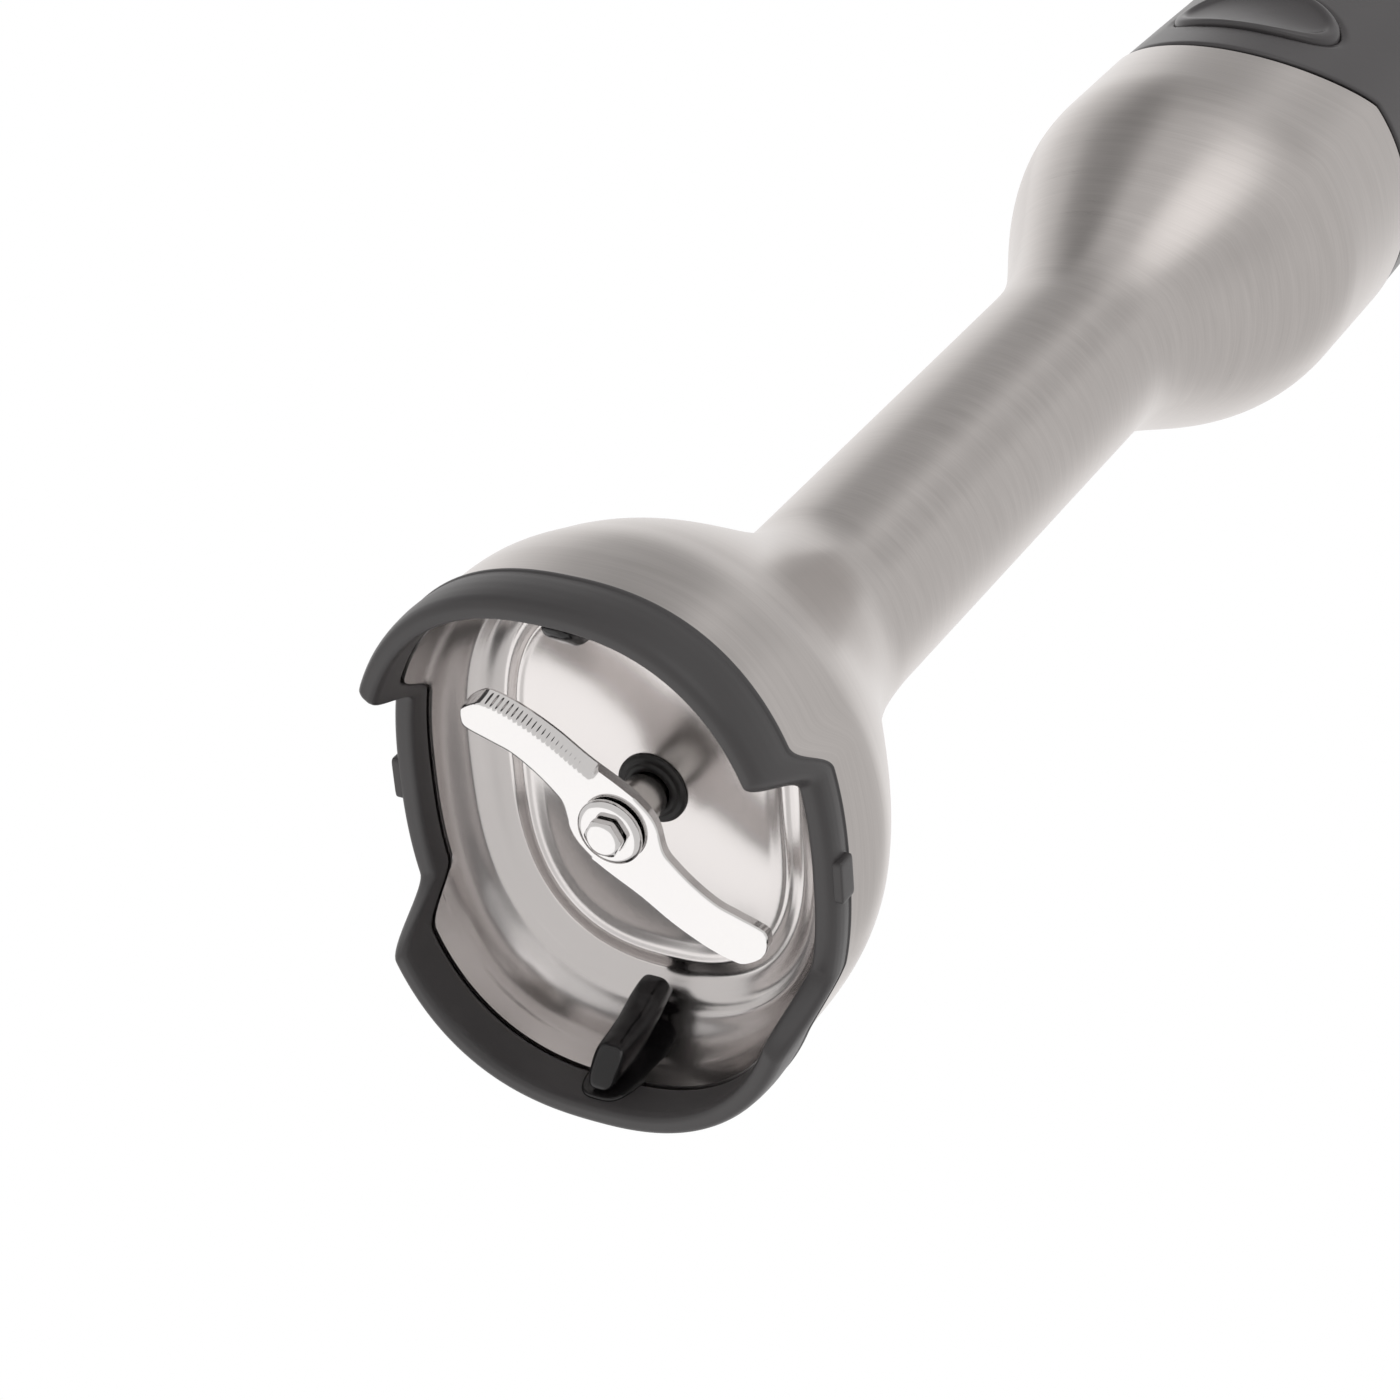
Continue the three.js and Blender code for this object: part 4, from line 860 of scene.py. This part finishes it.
def buildGland():
    gland = [(3.5, 386.2), (8, 386.2), (8, 388.9), (6.4, 388.9), (6.4, 391.9), (7.6, 391.9), (7.6, 394.6),
             (7.2, 395.2), (7.4, 395.8), (6.9, 396.4), (7.0, 397.0), (6.6, 397.6), (3.5, 397.6)]
    makePiece("cordGland", [turnedGrid(gland, 0.3, 112, (0, 18.5))], "handle", sealRubber,
              ["cord_gland"])


def buildShellLip():
    # the lip behind the joint of the two shells, one strip on each side
    height = np.linspace(213.5, 382.5, 120)[:, None]
    turn = np.array([-0.055, 0.055, 0.055, -0.055])[None, :]
    inset = np.array([2.3, 2.3, 3.1, 3.1])[None, :]
    grids = []
    for side in (0, math.pi):
        strip = handlePoint(turn + side, height, inset + 0 * height)
        ends = [np.repeat(strip[k:k + 1].mean(1, keepdims=True), 4, 1) for k in (0, -1)]
        grids.append((np.concatenate([ends[0], strip, ends[1]]), True, False))
    makePiece("shellLip", grids, "handle", charcoalPlastic)


buildCollar()
buildSeamRing()
buildButton("buttonRight", "button_right", 1)
buildButton("buttonLeft", "button_left", -1)
buildShells()
buildGrip()
buildTrigger()
buildTop()
buildKnob()
buildGland()
buildShellLip()
print("handle built")

# ------------ finishes of the pieces kept from the frame

keptFinish = dict(
    innerSteel=["motor_shaft", "motor_can", "motor_end_plate", "bearing_bridge", "trigger_pin",
                "trigger_spring", "potentiometer", "housing_screw_1", "housing_screw_2",
                "housing_screw_3", "housing_screw_4"],
    bronze=["lower_bush", "upper_bush", "thrust_ring", "lower_bearing", "upper_bearing"],
    copper=["lower_winding", "upper_winding", "commutator"],
    castIron=["armature_core"],
    ferrite=["magnet_front", "magnet_back", "brush_left", "brush_right"],
    nylon=["bearing_carrier", "pin_bracket", "shaft_socket"],
    sealRubber=["lower_mount_ring", "upper_mount_ring"],
    charcoalPlastic=["cooling_fan"],
    glossBlack=["microswitch"],
    board=["circuit_board"])
for finishName, nodeNames in keptFinish.items():
    for nodeName in nodeNames:
        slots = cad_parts[nodeName].data.materials
        slots.clear()
        slots.append(bpy.data.materials[finishName])
print("kept nodes finished")

# ------------ floor, light and camera

studio = dict(floorHeight=-0.55, floorSize=2.4, floorColour=(0.86, 0.855, 0.85), surround=0.74, backdrop=1.0,
              panelSize=0.7, panelPlace=(0.42, 0.36, -0.52), panelBrightness=0.50)
camera = dict(location=(-0.22503, -0.18972, -0.28556), aim=(-0.01457, -0.00858, 0.01536), roll=44.75,
              lens=102.5)


def buildFloor():
    half = studio["floorSize"] / 2
    side = np.linspace(-half, half, 3) * 1000
    x, y = np.meshgrid(side, side)
    points = np.stack([x, y, np.full_like(x, studio["floorHeight"] * 1000)], -1)
    mesh = bpy.data.meshes.new("floor")
    flat, quads, uv = gridFaces(points, False, False, 0)
    mesh.from_pydata((flat * 0.001).tolist(), [], quads.tolist())
    floor = bpy.data.objects.new("floor", mesh)
    bpy.context.scene.collection.objects.link(floor)
    material, nodes, links, shader = newMaterial("floorPaint", studio["floorColour"], 0.6)
    mesh.materials.append(material)


def buildWorld():
    # a soft even studio; the camera itself sees plain white
    world = bpy.data.worlds.new("studio")
    bpy.context.scene.world = world
    world.use_nodes = True
    nodes, links = world.node_tree.nodes, world.node_tree.links
    nodes.clear()
    coord = nodes.new("ShaderNodeTexCoord")
    value = None
    for direction, near, far, amount in studioPatches:
        dot = addNode(nodes, "ShaderNodeVectorMath", {"operation": "DOT_PRODUCT"})
        links.new(coord.outputs["Generated"], dot.inputs[0])
        dot.inputs[1].default_value = Vector(direction).normalized()
        patch = addNode(nodes, "ShaderNodeMapRange", {"clamp": True, "interpolation_type": "SMOOTHSTEP"})
        patch.inputs["From Min"].default_value = math.cos(math.radians(far))
        patch.inputs["From Max"].default_value = math.cos(math.radians(near))
        patch.inputs["To Min"].default_value = 0.0
        patch.inputs["To Max"].default_value = amount
        links.new(dot.outputs["Value"], patch.inputs["Value"])
        added = patch.outputs["Result"]
        value = added if value is None else mathNode(nodes, links, "ADD", value, added)
    value = mathNode(nodes, links, "MAXIMUM", mathNode(nodes, links, "ADD", value, studio["surround"]), 0.02)
    seen = addNode(nodes, "ShaderNodeBackground", Color=(1, 1, 1, 1), Strength=studio["backdrop"])
    lit = addNode(nodes, "ShaderNodeBackground", Color=(1.0, 0.99, 0.985, 1))
    links.new(value, lit.inputs["Strength"])
    path = nodes.new("ShaderNodeLightPath")
    choose = nodes.new("ShaderNodeMixShader")
    links.new(path.outputs["Is Camera Ray"], choose.inputs[0])
    links.new(lit.outputs[0], choose.inputs[1])
    links.new(seen.outputs[0], choose.inputs[2])
    output = nodes.new("ShaderNodeOutputWorld")
    links.new(choose.outputs[0], output.inputs[0])


def buildPanel():
    # a soft panel low behind the object, mirrored by the blade and the bell's ceiling
    data = bpy.data.lights.new("lowerPanel", "AREA")
    data.size = studio["panelSize"]
    data.energy = studio["panelBrightness"] * math.pi * data.size ** 2
    panel = bpy.data.objects.new("lowerPanel", data)
    bpy.context.scene.collection.objects.link(panel)
    panel.location = studio["panelPlace"]
    panel.rotation_euler = (math.pi, 0, 0)


def heading(azimuth, elevation):
    a, e = math.radians(azimuth), math.radians(elevation)
    return math.cos(e) * math.cos(a), math.cos(e) * math.sin(a), math.sin(e)


studioPatches = [  # direction, full within, gone beyond (degrees), brightness added
    (heading(41, 47), 24, 58, 0.45),
    (heading(160, 47), 8, 28, -0.30),
    (heading(222, 50), 4, 16, -0.20),
    (heading(216, 2), 8, 26, 0.75),
    (heading(140, 14), 8, 30, -0.42),
    (heading(255, -10), 5, 20, -0.35),
]


def buildCamera():
    data = bpy.data.cameras.new("camera")
    data.lens = camera["lens"]
    data.sensor_width = 36
    data.clip_start = 0.01
    eye = bpy.data.objects.new("camera", data)
    bpy.context.scene.collection.objects.link(eye)
    location, aim = Vector(camera["location"]), Vector(camera["aim"])
    facing = (aim - location).to_track_quat("-Z", "Y").to_matrix()
    rolled = facing @ Matrix.Rotation(math.radians(camera["roll"]), 3, "Z")
    eye.matrix_world = Matrix.Translation(location) @ rolled.to_4x4()
    bpy.context.scene.camera = eye


buildFloor()
buildWorld()
buildPanel()
buildCamera()
bpy.context.scene.view_settings.view_transform = "Standard"
print("studio ready")
